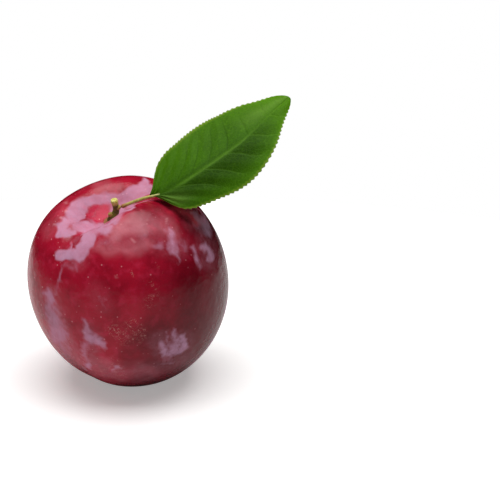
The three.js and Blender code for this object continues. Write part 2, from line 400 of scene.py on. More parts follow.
class Nodes:
    """A short way to fill a node tree: most methods add a node and return its output socket."""

    def __init__(self, tree: bpy.types.NodeTree) -> None:
        """Keeps the tree and clears it."""
        self.tree = tree
        tree.nodes.clear()

    def add(self, kind: str, **settings: object) -> bpy.types.Node:
        """Adds a node.

        Args:
            kind: the type of the node.
            settings: its properties, such as the operation of a Math node.

        Returns:
            The node.
        """
        node = self.tree.nodes.new(kind)
        for key, value in settings.items():
            setattr(node, key, value)
        return node

    def put(self, socket: Socket, value: Given) -> None:
        """Links an output to an input, or sets the input's own value.

        Args:
            socket: the input.
            value: the output, or a number, colour or vector.
        """
        if isinstance(value, Socket):
            self.tree.links.new(value, socket)
        else:
            socket.default_value = value

    def fill(self, node: bpy.types.Node, **values: Given) -> bpy.types.Node:
        """Fills inputs of a node by their names, in which an underscore stands for a space.

        Args:
            node: the node.
            values: for each input an output to link, or a constant for the input's own socket.

        Returns:
            The same node.
        """
        for key, value in values.items():
            self.put(node.inputs[key.replace("_", " ")], value)
        return node

    def math(self, operation: str, a: Given, b: Given = 0.0, clamp: bool = False) -> Socket:
        """A sum of two values.

        Args:
            operation: which sum it is, such as ADD.
            a: the first value.
            b: the second value, where the sum takes two.
            clamp: whether the result is kept between 0 and 1.

        Returns:
            The result.
        """
        node = self.add("ShaderNodeMath", operation=operation, use_clamp=clamp)
        self.put(node.inputs[0], a)
        self.put(node.inputs[1], b)
        return node.outputs[0]

    def times(self, a: Given, b: Given, clamp: bool = False) -> Socket:
        """The product of a and b."""
        return self.math("MULTIPLY", a, b, clamp)

    def plus(self, a: Given, b: Given) -> Socket:
        """The sum of a and b."""
        return self.math("ADD", a, b)

    def less(self, a: Given, b: Given, clamp: bool = False) -> Socket:
        """The value a less b."""
        return self.math("SUBTRACT", a, b, clamp)

    def larger(self, a: Given, b: Given) -> Socket:
        """The larger of a and b."""
        return self.math("MAXIMUM", a, b)

    def stray(self, value: Given, noise: Given, by: float) -> Socket:
        """A value made uneven: the value, plus the noise less a half times a size."""
        return self.plus(value, self.times(self.less(noise, 0.5), by))

    def step(self, value: Given, low: float, high: float, first: float = 0.0, last: float = 1.0) -> Socket:
        """A smooth step of a value.

        Args:
            value: the value.
            low: where the step starts.
            high: where it ends.
            first: the result before it.
            last: the result after it.

        Returns:
            The result.
        """
        node = self.add("ShaderNodeMapRange", interpolation_type="SMOOTHSTEP")
        self.fill(node, Value=value, From_Min=low, From_Max=high, To_Min=first, To_Max=last)
        return node.outputs["Result"]

    def mix(self, share: Given, a: Given, b: Given) -> Socket:
        """A colour mixed from two.

        Args:
            share: 0 for the first colour, 1 for the second.
            a: the first colour.
            b: the second colour.

        Returns:
            The colour.
        """
        node = self.add("ShaderNodeMix", data_type="RGBA", blend_type="MIX", clamp_factor=True)
        for place, value in ((0, share), (6, a), (7, b)):
            self.put(node.inputs[place], value)
        return node.outputs[2]

    def tint(self, colour: Given, tint: Tint, share: Given) -> Socket:
        """A colour turned towards a tint by a share, times the most that the tint covers."""
        share = self.times(share, tint.most) if tint.most < 1.0 else share
        return self.mix(share, colour, colour_from_hex(tint.code))

    def blend(self, share: Given, a: Given, b: Given) -> Socket:
        """A value mixed from two.

        Args:
            share: 0 for the first value, 1 for the second.
            a: the first value.
            b: the second value.

        Returns:
            The value.
        """
        node = self.add("ShaderNodeMix", data_type="FLOAT", clamp_factor=True)
        for place, value in ((0, share), (2, a), (3, b)):
            self.put(node.inputs[place], value)
        return node.outputs[0]

    def attribute(self, name: str) -> Socket:
        """A value kept at the mesh's points."""
        return self.add("ShaderNodeAttribute", attribute_name=name).outputs["Fac"]

    def where(self, stretch: Point = (1.0, 1.0, 1.0), turn: Point = (0.0, 0.0, 0.0)) -> Socket:
        """Object coordinates in millimetres, turned and stretched.

        Args:
            stretch: factors on x, y and z; a pattern is longer along one that is below 1.
            turn: turns about x, y and z, in radians.

        Returns:
            The place that a texture reads.
        """
        source = self.add("ShaderNodeTexCoord").outputs["Object"]
        node = self.add("ShaderNodeMapping")
        self.fill(node, Vector=source, Scale=tuple(s / MM for s in stretch), Rotation=turn)
        return node.outputs["Vector"]

    def noise(self, place: Given, scale: Given, detail: float = 3.0, rough: float = 0.55, bend: float = 0.0) -> Socket:
        """Fractal noise, about 0.5 on average.

        Args:
            place: where it is read.
            scale: waves per millimetre.
            detail: how many finer layers it has.
            rough: how strong each layer is beside the one before.
            bend: how far the pattern is bent.

        Returns:
            The noise.
        """
        node = self.add("ShaderNodeTexNoise")
        self.fill(node, Vector=place, Scale=scale, Detail=detail, Roughness=rough, Distortion=bend)
        return node.outputs["Fac"]

    def cells(self, place: Given, scale: float, feature: str = "F1") -> bpy.types.Node:
        """Uneven cells over a place, as many per millimetre as the scale, as the whole Voronoi node."""
        return self.fill(self.add("ShaderNodeTexVoronoi", feature=feature), Vector=place, Scale=scale)

    def bump(self, height: Given, depth: float, strength: float = 1.0, under: Socket | None = None) -> Socket:
        """A bumped normal.

        Args:
            height: the relief, whose range of one stands for the depth.
            depth: millimetres.
            strength: how much of the bump shows.
            under: a normal that is bumped already.

        Returns:
            The normal.
        """
        node = self.add("ShaderNodeBump")
        self.fill(node, Distance=depth * MM, Strength=strength, Height=height)
        if under is not None:
            self.put(node.inputs["Normal"], under)
        return node.outputs["Normal"]


def mottle_group() -> bpy.types.NodeTree:
    """Makes the group "mottle": broad and fine natural variation of a colour.

    The colour is mixed towards a deeper one by broad noise, and towards a paler one by finer noise.

    Returns:
        The group, which skin, bark, leaf and petiole share.
    """
    tree = bpy.data.node_groups.new("mottle", "ShaderNodeTree")
    inputs = {
        "Colour": ("Color", (0.5, 0.5, 0.5, 1.0)),
        "Deeper": ("Color", (0.3, 0.3, 0.3, 1.0)),
        "Paler": ("Color", (0.7, 0.7, 0.7, 1.0)),
        "Patch size": ("Float", 12.0),
        "Fleck size": ("Float", 1.2),
        "Amount": ("Float", 1.0),
    }
    for label, (kind, default) in inputs.items():
        socket = tree.interface.new_socket(label, in_out="INPUT", socket_type=f"NodeSocket{kind}")
        socket.default_value = default
    for label, kind in {"Colour": "Color", "Height": "Float"}.items():
        tree.interface.new_socket(label, in_out="OUTPUT", socket_type=f"NodeSocket{kind}")
    n = Nodes(tree)
    given = n.add("NodeGroupInput").outputs
    place = n.where()
    broad = n.noise(place, n.math("DIVIDE", 1.0, given["Patch size"]), detail=2.0, rough=0.5)
    fine = n.noise(place, n.math("DIVIDE", 1.0, given["Fleck size"]), detail=3.0, rough=0.5)
    deep = n.times(n.step(broad, low=0.4, high=0.7), given["Amount"], clamp=True)
    pale = n.times(n.step(fine, low=0.48, high=0.75), given["Amount"], clamp=True)
    colour = n.mix(pale, n.mix(deep, given["Colour"], given["Deeper"]), given["Paler"])
    n.fill(n.add("NodeGroupOutput"), Colour=colour, Height=fine)
    return tree


@dataclass(frozen=True)
class Mottle:
    """How a finish uses the group "mottle": three screen colours, two lengths in millimetres, and a strength."""

    colour: str
    deeper: str
    paler: str
    patch_size: float
    fleck_size: float
    amount: float

    def place(self, n: Nodes, group: bpy.types.NodeTree) -> bpy.types.Node:
        """Places the group in a material.

        Args:
            n: the material's helper.
            group: the group.

        Returns:
            The group's node, whose outputs are Colour and Height.
        """
        node = n.add("ShaderNodeGroup", node_tree=group)
        colour, deeper, paler = (colour_from_hex(code) for code in (self.colour, self.deeper, self.paler))
        n.fill(node, Patch_size=self.patch_size, Fleck_size=self.fleck_size, Amount=self.amount)
        return n.fill(node, Colour=colour, Deeper=deeper, Paler=paler)


def material(name: str) -> tuple[bpy.types.Material, Nodes, bpy.types.Node]:
    """A new material with its Principled shader joined to the output.

    Args:
        name: the material's name.

    Returns:
        The material, the helper that fills its tree, and the shader.
    """
    made = bpy.data.materials.new(name)
    made.use_nodes = True
    n = Nodes(made.node_tree)
    shader = n.add("ShaderNodeBsdfPrincipled")
    n.fill(n.add("ShaderNodeOutputMaterial"), Surface=shader.outputs["BSDF"])
    return made, n, shader


# The fruit's finish


class Side(Enum):
    """Which part of the skin a patch of bloom lies on."""

    ANY = "any"
    BOWL = "inside the stem cavity"
    OUTSIDE = "outside its rim"


@dataclass(frozen=True)
class Patch:
    """A patch drawn on the skin as a line of pixels of the photograph, with a half width at each end.

    The patch is full within the half width of the line and falls to nothing over the softness, both in pixels.
    """

    path: tuple[Pixel, ...]
    half_width: Pixel
    softness: float
    strength: float
    side: Side = Side.OUTSIDE

    def cover(self, pixels: np.ndarray) -> np.ndarray:
        """How much of the patch covers each pixel: a smooth step of the distance to the nearest stretch of the line.

        Args:
            pixels: places on the photograph, last axis across and down, already strayed a little.

        Returns:
            Values between 0 and the strength.
        """
        line = np.array(self.path)
        count = len(line) - 1
        best = np.full(pixels.shape[:-1], -np.inf)
        for i in range(count):
            start, way = line[i], line[i + 1] - line[i]
            share = np.clip(((pixels - start) @ way) / (way @ way), 0, 1)
            away = np.linalg.norm(pixels - start - share[..., None] * way, axis=-1)
            width = self.half_width[0] + (self.half_width[1] - self.half_width[0]) * (i + share) / count
            best = np.maximum(best, width - away)
        fade = 1.5 + 1.1 * self.softness
        return self.strength * smooth(0.5 + best / fade)


# Each patch gives its line, two half widths, softness and strength, and its side where that isn't outside the rim
BLOOM_PATCHES: tuple[Patch, ...] = (
    Patch(((66, 230), (70, 216), (78, 204), (92, 201), (110, 200), (128, 200)), (6.5, 7.5), 4, 1.0, Side.BOWL),
    Patch(((78, 228), (92, 230), (106, 225)), (7, 6), 5, 1.0, Side.BOWL),
    Patch(((76, 214), (82, 208)), (9, 8), 5, 1.0, Side.BOWL),
    Patch(((114, 200), (118, 212)), (8, 6), 5, 0.95, Side.BOWL),
    Patch(((122, 199), (136, 194), (147, 189)), (6.5, 6.5), 4, 1.0, Side.ANY),
    Patch(((138, 189), (143, 184), (145, 181)), (4, 4), 3, 0.95, Side.ANY),
    Patch(((60, 231), (74, 234)), (5, 3), 4, 1.0, Side.ANY),
    Patch(((62, 227), (68, 221)), (5, 5), 4, 1.0, Side.ANY),
    Patch(((93, 232), (104, 230), (112, 225)), (5, 2.5), 4, 0.85),
    Patch(((116, 221), (122, 213), (130, 208)), (3.5, 2), 3, 0.75),
    Patch(((90, 231.5), (99, 228), (108, 223), (117, 217.5), (124, 212), (132, 207)), (2.0, 1.8), 3, 0.95, Side.ANY),
    Patch(((88, 234), (87, 244), (80, 253)), (5.5, 8), 4, 0.95),
    Patch(((61, 255), (74, 256), (82, 255)), (5.5, 6), 3.5, 0.95),
    Patch(((70, 244), (70, 249)), (1.6, 3), 3, 0.8),
    Patch(((100, 243), (112, 238)), (5, 4), 8, 0.3),
    Patch(((141, 237), (146, 233)), (5, 4), 6, 0.34),
    Patch(((154, 246), (161, 245)), (4, 4), 5, 0.42),
    Patch(((169, 229), (171, 240), (174, 251)), (3.4, 5), 6, 0.56),
    Patch(((180, 240), (186, 248)), (5, 4), 8, 0.34),
    Patch(((174, 250), (179, 262)), (3, 1.6), 5, 0.55),
    Patch(((195, 213), (201, 220), (206, 227), (209, 234)), (3.4, 4), 5, 0.72),
    Patch(((197, 224), (204, 233)), (5, 4), 8, 0.4),
    Patch(((203, 247), (208, 252), (211, 258)), (3, 4), 5, 0.7),
    Patch(((193, 250), (196, 259), (202, 267)), (3, 2), 5, 0.58),
    Patch(((61, 267), (60, 274), (59, 282)), (1.6, 2), 5, 0.62),
    Patch(((64, 266), (73, 267)), (2.2, 2), 6, 0.42),
    Patch(((47, 292), (49, 296), (51, 301)), (3.4, 4), 6, 0.8),
    Patch(((57, 284), (54, 294)), (2.6, 3), 6, 0.46),
    Patch(((50, 302), (51, 314), (56, 324), (59, 336)), (5, 9), 9, 0.62),
    Patch(((57, 338), (61, 345), (66, 353)), (6, 4), 9, 0.46),
    Patch(((83.5, 321), (88, 331), (92, 339)), (2.4, 6.4), 5, 0.66),
    Patch(((91, 338), (99, 343.5), (106, 347.5)), (6, 2), 5, 0.7),
    Patch(((90, 342), (85, 348), (83, 355), (87, 365)), (4, 2.4), 6, 0.52),
    Patch(((87, 366), (90, 368)), (2, 1.6), 3, 0.7),
    Patch(((115, 369), (119, 368)), (1.8, 1.8), 3, 0.7),
    Patch(((101, 296), (103, 306)), (1.2, 1.4), 4, 0.34),
    Patch(((74, 264), (78, 268)), (1.6, 2), 4, 0.4),
    Patch(((160, 344), (163, 350), (169, 356)), (4, 4), 5, 0.64),
    Patch(((166, 336), (169, 347)), (1.2, 2), 4, 0.55),
    Patch(((174, 329), (175, 341), (173, 352)), (1.6, 4.4), 4.5, 0.68),
    Patch(((181, 339), (183, 344), (179, 351)), (4.4, 3.4), 5, 0.7),
    Patch(((165, 363), (172, 364)), (1.6, 1.6), 4, 0.4),
)
HAZE_PATCHES: tuple[Patch, ...] = (
    Patch(((52, 226), (62, 214)), (10, 8), 12, 0.06),
    Patch(((80, 243), (75, 255)), (16, 14), 12, 0.18),
    Patch(((105, 240), (125, 226), (160, 222)), (9, 12), 14, 0.13),
    Patch(((125, 246), (150, 240), (176, 246)), (10, 12), 14, 0.13),
    Patch(((192, 212), (205, 232), (208, 262)), (10, 8), 12, 0.2),
    Patch(((48, 296), (52, 312), (57, 332), (66, 352)), (7, 14), 12, 0.28),
    Patch(((66, 352), (90, 366), (118, 374)), (12, 9), 12, 0.2),
    Patch(((88, 330), (95, 343), (86, 355)), (8, 8), 10, 0.2),
    Patch(((160, 345), (182, 342)), (11, 9), 10, 0.2),
    Patch(((118, 374), (150, 372), (185, 358)), (9, 7), 12, 0.14),
    Patch(((97, 290), (104, 306)), (8, 6), 12, 0.1),
)
# Painted highlights: pale rose patches on the shoulders and by the cavity's far rim, and painted reflection along the
# left edge and near the bottom.
HIGHLIGHT_PATCHES: tuple[Patch, ...] = (
    Patch(((116, 234), (130, 229), (142, 227)), (8, 7), 14, 0.6),
    Patch(((142, 227), (158, 226), (172, 232)), (8, 5), 14, 0.3),
    Patch(((112, 246), (128, 251), (146, 244)), (6, 5), 12, 0.34),
    Patch(((48, 232), (56, 222), (70, 206), (90, 194)), (6, 5), 10, 0.12),
    Patch(((98, 188), (116, 188)), (6, 5), 8, 0.2, Side.ANY),
    Patch(((99, 247), (108, 251), (118, 250)), (4, 5), 12, 0.34),
    Patch(((30, 250), (28.5, 272), (31, 298)), (2, 2), 5, 0.6),
    Patch(((84, 362), (116, 374), (150, 372)), (9, 7), 12, 0.15),
)
# Painted light: the skin in the leaf's shadow is painted a brighter red, which lifts that shadow.
LEAF_SHADOW_LIFT_PATCHES: tuple[Patch, ...] = (
    Patch(((176, 210), (186, 214), (197, 222)), (3, 4), 8, 0.9),
)
RUBBED_PATCHES: tuple[Patch, ...] = (
    Patch(((89, 218), (98, 216), (106, 210)), (1.5, 6), 8, 1.0, Side.BOWL),
    Patch(((96, 218), (105, 216)), (4, 5), 8, 1.0, Side.BOWL),
    Patch(((89, 214), (97, 209)), (3, 4), 6, 0.9, Side.BOWL),
    Patch(((72, 238), (80, 236)), (2, 2), 3, 1.0, Side.ANY),
    Patch(((62, 242), (68, 244)), (4, 2), 3, 1.0),
    Patch(((73, 248), (77, 248)), (1.6, 1.4), 3, 0.9),
)
SCUFF_PATCHES: tuple[Patch, ...] = (
    Patch(((112, 327), (118, 334), (126, 339)), (6, 5), 6, 0.9),
    Patch(((128, 330), (137, 327), (142, 334)), (6, 6), 6, 1.0),
    Patch(((139, 335), (135.5, 337.5), (134, 342)), (0.8, 0.6), 2, 1.6),
    Patch(((150, 303), (157, 297)), (5, 4), 7, 0.6),
    Patch(((158, 299), (160, 298)), (0.5, 0.5), 1.8, 1.5),
    Patch(((152, 284), (157, 289)), (1.5, 1.5), 4, 0.8),
    Patch(((157, 267), (160, 273)), (1, 1), 3, 0.9),
    Patch(((130, 272), (133.5, 275.5)), (0.9, 1.1), 2, 1.7),
    Patch(((100, 372), (120, 374), (112, 362)), (6, 6), 10, 0.5),
)
DOT_PATCHES: tuple[Patch, ...] = tuple(
    Patch(((across, down), (across + 0.1, down)), (size, size), softness, strength, Side.ANY)
    for across, down, size, softness, strength in (
        (66.0, 212.0, 0.8, 2.2, 1.0),
        (62.5, 217.5, 0.7, 2.0, 1.0),
        (56.0, 226.0, 0.7, 2.0, 0.8),
        (66.0, 203.0, 0.9, 3.0, 0.5),
        (120.5, 225.0, 0.7, 2.0, 0.7),
        (132.0, 242.0, 0.7, 2.0, 0.8),
        (166.0, 223.0, 0.6, 2.0, 0.7),
        (115.0, 277.0, 0.7, 2.4, 0.6),
        (129.0, 339.0, 0.6, 2.0, 0.7),
    )
)


@dataclass(frozen=True)
class SkinFinish:
    """Ripe red skin under a waxy bloom that is rubbed off in places, with pale breathing dots and fine scuffs."""

    red: Mottle = Mottle("aa142e", "860c20", "b82440", patch_size=9.0, fleck_size=2.6, amount=0.8)
    # The dark wine of the painted shade, towards +X and underneath.
    dusk: Tint = Tint("50020e", most=0.85)
    # The pale rose of the painted highlights.
    rosy: Tint = Tint("e79aa6", most=0.75)
    rubbed: Tint = Tint("c9244a", most=0.85)
    # The brighter red painted where the leaf casts its shadow.
    shaded: Tint = Tint("ec3c56")
    mist: Tint = Tint("cc8c9f")
    dots: Tint = Tint("e6a0a8", most=0.7)
    scuffs: Tint = Tint("dc9c94")
    bloom: Tint = Tint("d0a0be")
    grey_bloom: str = "d9acce"
    russet: Tint = Tint("8a6a3c", most=0.85)
    scar: Tint = Tint("6e4a3a", most=0.9)
    scuff_strength: float = 0.75
    marked_scuff_strength: float = 0.7
    fray: float = 0.6
    thickest_veil: float = 0.72
    dots_per_mm: float = 0.5
    dot_size: Pixel = (0.07, 0.16)
    dots_lit_and_in_shade: Pixel = (0.72, 0.24)
    scuff_width: float = 0.034
    bare_roughness: float = 0.27
    bloom_roughness: float = 0.85
    russet_roughness: float = 0.8

    def bloomed(self, n: Nodes, place: Socket, grain: Socket) -> tuple[Socket, Socket]:
        """Where the bloom lies: a step of the field "bloom" frayed by noise, thinned in patches and by the grain.

        Args:
            n: the material's helper.
            place: object coordinates in millimetres.
            grain: the skin's fine noise.

        Returns:
            What is covered, and how far the bloom hides the skin there.
        """
        fray = n.noise(n.where(stretch=(1.0, 1.0, 0.55)), scale=0.6, detail=5.0, rough=0.62, bend=0.3)
        cover = n.step(n.stray(n.attribute("bloom"), fray, self.fray), low=0.12, high=0.95)
        patchy = n.noise(place, scale=0.28, detail=3.0, rough=0.5)
        thin = n.times(cover, n.step(patchy, low=0.25, high=0.7, first=0.7, last=1.0))
        thin = n.times(thin, n.step(grain, low=0.3, high=0.7, first=0.86, last=1.0))
        return cover, n.times(thin, self.thickest_veil)

    def dotted(self, n: Nodes, place: Socket, shade_share: Socket) -> Socket:
        """Where the dots are: middles of sparse cells chosen by noise, fainter under the painted shade, and the field
        "dots".

        Args:
            n: the material's helper.
            place: object coordinates in millimetres.
            shade_share: how far the painted shade darkens the skin.

        Returns:
            The dots' strength.
        """
        cell = n.cells(place, self.dots_per_mm)
        dot = n.step(cell.outputs["Distance"], *self.dot_size, first=1.0, last=0.0)
        chosen = n.step(n.noise(cell.outputs["Position"], scale=3.1, detail=0.0), low=0.42, high=0.62)
        dot = n.times(n.times(dot, chosen), n.blend(shade_share, *self.dots_lit_and_in_shade))
        return n.larger(dot, n.attribute("dots"))

    def scuffed(self, n: Nodes, place: Socket) -> Socket:
        """Where the scuffs are: thin lines where bent noise passes a half, broken up, within the field "scuff".

        Args:
            n: the material's helper.
            place: object coordinates in millimetres.

        Returns:
            The scuffs' strength, which is even where the field is above one.
        """
        aslant = n.where(stretch=(1.0, 1.0, 1.3), turn=(0.5, 0.6, 0.4))
        streaks = n.noise(aslant, scale=0.5, detail=1.0, rough=0.5, bend=2.4)
        streak = n.step(n.math("ABSOLUTE", n.less(streaks, 0.5)), low=0.0, high=self.scuff_width, first=1.0, last=0.0)
        streak = n.times(streak, n.step(n.noise(place, scale=0.8, detail=2.0), low=0.4, high=0.54))
        streak = n.times(streak, n.attribute("scuff"), clamp=True)
        marked = n.step(n.attribute("scuff"), low=1.0, high=1.6)
        return n.larger(n.times(streak, self.scuff_strength), n.times(marked, self.marked_scuff_strength))

    def make(self, mottle: bpy.types.NodeTree) -> bpy.types.Material:
        """Builds the skin's material.

        The skin is mottled red, turned in order by its fields to a dark wine of painted shade, a pale rose of painted
        highlight, the bright red where the bloom is rubbed off, and a brighter red of painted light in the leaf's
        shadow.
        Haze, dots, scuffs and bloom lie over it, and then russet and the scar.

        Args:
            mottle: the shared group of natural variation.

        Returns:
            The material.
        """
        made, n, shader = material("plum_skin")
        place = n.where()
        grain = n.noise(place, scale=4.5, detail=4.0, rough=0.65)
        cloudy = n.noise(place, scale=0.12, detail=3.0, rough=0.6)
        # The painted shade, frayed by broad noise.
        shade_share = n.step(n.stray(n.attribute("dusk"), cloudy, by=0.7), low=0.0, high=1.0)
        misty = n.step(n.noise(place, scale=0.7, detail=4.0, rough=0.65), low=0.25, high=0.75, first=0.35, last=1.0)
        cover, veil = self.bloomed(n, place, grain)
        dot = self.dotted(n, place, shade_share)
        scuff = self.scuffed(n, place)
        russet = n.step(n.stray(n.attribute("russet"), grain, by=0.7), low=0.35, high=0.75)
        scar = n.step(n.stray(n.attribute("scar"), grain, by=0.6), low=0.35, high=0.7)
        corky = n.larger(russet, scar)

        colour = n.tint(self.red.place(n, mottle).outputs["Colour"], self.dusk, shade_share)
        # In turn: a painted highlight, the bright red where the bloom is rubbed off, and painted light in the leaf's
        # shadow.
        for tint, name in ((self.rosy, "rosy"), (self.rubbed, "rubbed"), (self.shaded, "shaded")):
            colour = n.tint(colour, tint, n.attribute(name))
        colour = n.tint(colour, self.mist, n.times(n.attribute("haze"), misty))
        colour = n.tint(n.tint(colour, self.dots, dot), self.scuffs, scuff)
        tone = n.tint(colour_from_hex(self.grey_bloom), self.bloom, n.attribute("sheltered"))
        colour = n.mix(veil, colour, tone)
        colour = n.tint(n.tint(colour, self.russet, russet), self.scar, scar)

        rough = n.blend(corky, n.blend(veil, self.bare_roughness, self.bloom_roughness), self.russet_roughness)
        height = n.plus(n.times(grain, 0.35), n.times(cover, 0.3))
        height = n.plus(n.plus(height, n.times(dot, 0.5)), n.times(scuff, 0.5))
        height = n.plus(height, n.times(corky, n.times(grain, 3.0)))
        wavy = n.bump(n.noise(place, scale=0.35, detail=2.0), depth=0.5, strength=0.5)
        n.fill(
            shader, Base_Color=colour, Roughness=rough, Normal=n.bump(height, depth=0.06, strength=0.8, under=wavy),
            Coat_Weight=n.less(0.06, n.times(veil, 0.2), clamp=True), Coat_Roughness=0.2,
            IOR=1.38, Specular_IOR_Level=0.22,
            Subsurface_Weight=0.06, Subsurface_Radius=(0.004, 0.0012, 0.0008), Subsurface_Scale=1.0,
        )
        return made


# The fruit


@dataclass
class Fruit:
    """The plum itself: a round stone fruit with a stem cavity, one suture and a blossom-end scar.

    Polar angles run from the stalk end, and turns go round the stem axis from the fruit's own +X.
    """

    centre: Point = (-1.1, -0.9, 31.7)
    lean_forward: float = math.radians(10.5)
    lean_left: float = math.radians(12.0)
    half_width: float = 29.9
    half_length: float = 33.4
    shoulder_fullness: float = 0.02
    cheek_flatness: float = 0.004
    lump_size: float = 0.011
    lump_count: int = 3
    lump_phase: float = 5.07
    cavity_depth: float = 11.4
    cavity_radius: float = 9.7
    cavity_steepness: float = 2.4
    cavity_stretch: float = 0.14
    rim_radius: float = 15.0
    rim_spread: float = 7.0
    rim_lifts: tuple[Point, ...] = ((1.8, 303.0, 40.0), (-2.8, 14.0, 31.0), (-1.3, 120.0, 60.0))
    suture_turn: float = math.radians(224.0)
    suture_half_width: float = math.radians(9.0)
    suture_flare: float = math.radians(7.0)
    suture_rim_angle: float = math.radians(27.0)
    suture_rim_spread: float = math.radians(20.0)
    suture_rim_depth: float = 1.7
    suture_body_depth: float = 0.45
    suture_tip_spread: float = math.radians(24.0)
    suture_tip_depth: float = 0.3
    blossom_depth: float = 0.8
    blossom_radius: float = 3.4
    ground_blend: float = 0.12
    rings: int = 258
    turns: int = 360
    ring_crowding: float = 0.07
    turn_crowding: float = 0.3
    # Where the skin is painted darker as shade: towards +X and downwards.
    painted_shade_side: Point = (0.88, 0.05, -0.45)
    russet_radius: float = 3.2
    scar_radius: float = 1.5

    def groove(self, theta: np.ndarray, phi: np.ndarray) -> np.ndarray:
        """How far the suture presses the skin in: a bell across it, deepest at the cavity's rim and faint elsewhere.

        Args:
            theta: polar angles.
            phi: turns round the axis.

        Returns:
            Depths in millimetres, which fade to nothing at both ends.
        """
        at_rim = gauss((theta - self.suture_rim_angle) / self.suture_rim_spread)
        at_tip = gauss((np.pi - theta) / self.suture_tip_spread)
        depth = self.suture_rim_depth * at_rim + self.suture_body_depth * np.sin(theta) + self.suture_tip_depth * at_tip
        half_width = self.suture_half_width + self.suture_flare * at_rim
        away_from_poles = smooth(theta / 0.35) * smooth((np.pi - theta) / 0.25)
        return depth * away_from_poles * gauss(turn_between(phi, self.suture_turn) / half_width)

    def local(self, theta: np.ndarray, phi: np.ndarray) -> tuple[np.ndarray, np.ndarray]:
        """The skin in the fruit's own frame, as distance from the stem axis and height along it.

        The radius is the half width, swollen by low waves and pressed by the groove, times the sine of theta. The
        height is the half length times the cosine, less a bell-like bowl at the stalk end, whose rim rises and dips,
        and plus a small dimple at the other.

        Args:
            theta: polar angles.
            phi: turns round the axis.

        Returns:
            The radius and the height, in millimetres.
        """
        pressed = self.groove(theta, phi)
        across = phi - self.suture_turn
        swell = 1 + self.shoulder_fullness * np.cos(theta) + self.cheek_flatness * np.cos(2 * across) * np.sin(theta)
        lumps = np.sin(self.lump_count * phi + self.lump_phase) * np.sin(2 * theta) * np.sin(theta)
        radius = (self.half_width * (swell + self.lump_size * lumps) - pressed) * np.sin(theta)
        height = (self.half_length - pressed) * np.cos(theta)
        mouth = self.cavity_radius * (1 + self.cavity_stretch * np.cos(2 * across))
        on_rim = gauss((radius - self.rim_radius) / self.rim_spread) * smooth(radius / 6)
        bowl = -self.cavity_depth * np.exp(-((radius / mouth) ** self.cavity_steepness))
        for lift, turn, half in self.rim_lifts:
            bowl = bowl + lift * on_rim * gauss(turn_between(phi, math.radians(turn)) / math.radians(half))
        dimple = self.blossom_depth * gauss(radius / self.blossom_radius)
        return radius, height + np.where(theta < np.pi / 2, bowl, dimple)

    def placed(self, radius: np.ndarray, phi: np.ndarray, height: np.ndarray) -> np.ndarray:
        """Turns the fruit's own frame to its lean, moves it to its centre, and eases the bottom into the flat spot.

        A height z becomes half of z plus the root of z squared and the blend squared, which is z well above the floor
        and nothing well below it.

        Args:
            radius: distances from the stem axis.
            phi: turns round it.
            height: heights along it.

        Returns:
            Points in the plum's frame, in millimetres.
        """
        points = np.stack([radius * np.cos(phi), radius * np.sin(phi), height], axis=-1)
        a, b = self.lean_forward, -self.lean_left
        about_x = np.array([[1, 0, 0], [0, math.cos(a), -math.sin(a)], [0, math.sin(a), math.cos(a)]])
        about_y = np.array([[math.cos(b), 0, math.sin(b)], [0, 1, 0], [-math.sin(b), 0, math.cos(b)]])
        points = points @ (about_y @ about_x).T + np.array(self.centre)
        z = points[..., 2]
        points[..., 2] = 0.5 * (z + np.sqrt(z * z + self.ground_blend**2))
        return points

    def fields(
        self, points: np.ndarray, normals: np.ndarray, radius: np.ndarray, theta: np.ndarray
    ) -> dict[str, np.ndarray]:
        """The values that the skin's finish reads, one per point.

        On the side that the photograph shows, the patches are drawn where its pixels are. On the others, seeded
        ripples above a threshold give patches of the same kind, and the cavity is bloomed all round.

        Args:
            points: the skin's points.
            normals: its outward directions.
            radius: distance from the stem axis.
            theta: polar angle.

        Returns:
            bloom, haze, rosy (a painted highlight), rubbed, shaded (painted light in the leaf's shadow), sheltered,
            dusk (painted shade), scuff, dots, russet and scar.
        """
        sway = [ripples(points, 7.0, seed=51 + k) + 0.7 * ripples(points, 2.8, seed=53 + k) for k in range(2)]
        pixels = VIEW.project(points) + np.stack(sway, axis=-1)
        seen = smooth(((normals * unit(VIEW.place() - points)).sum(-1) - 0.02) / 0.2)
        by_stalk = theta < np.pi / 2
        in_bowl = smooth((self.rim_radius - 1.0 - radius) / 3.0) * by_stalk
        share = {Side.ANY: 1.0, Side.BOWL: in_bowl, Side.OUTSIDE: 1 - in_bowl}

        def drawn(patches: tuple[Patch, ...]) -> np.ndarray:
            """The strongest of the patches at each point."""
            return np.max([patch.cover(pixels) * share[patch.side] for patch in patches], axis=0)

        rubbed = drawn(RUBBED_PATCHES)
        # Painted highlight, on the side that the camera sees.
        rosy = drawn(HIGHLIGHT_PATCHES) * seen
        waves = ((0.6, 26.0, 11), (0.45, 11.0, 12), (0.3, 5.0, 13))
        wild = sum(size * ripples(points, scale, seed) for size, scale, seed in waves)
        front = drawn(BLOOM_PATCHES) * (1 - rubbed)
        back = np.maximum(smooth((wild - 0.3) / 1.3) * 0.8, in_bowl * smooth((wild + 1.6) / 0.8))
        hidden_floor = smooth((9.0 - radius) / 5.0) * by_stalk * (1 - rubbed)
        front_haze = drawn(HAZE_PATCHES) * (1 - 0.8 * rubbed)
        back_haze = 0.3 * smooth((wild + 0.2) / 1.6)
        back_scuff = 0.6 * smooth((ripples(points, 18.0, seed=21) - 0.6) / 0.8)
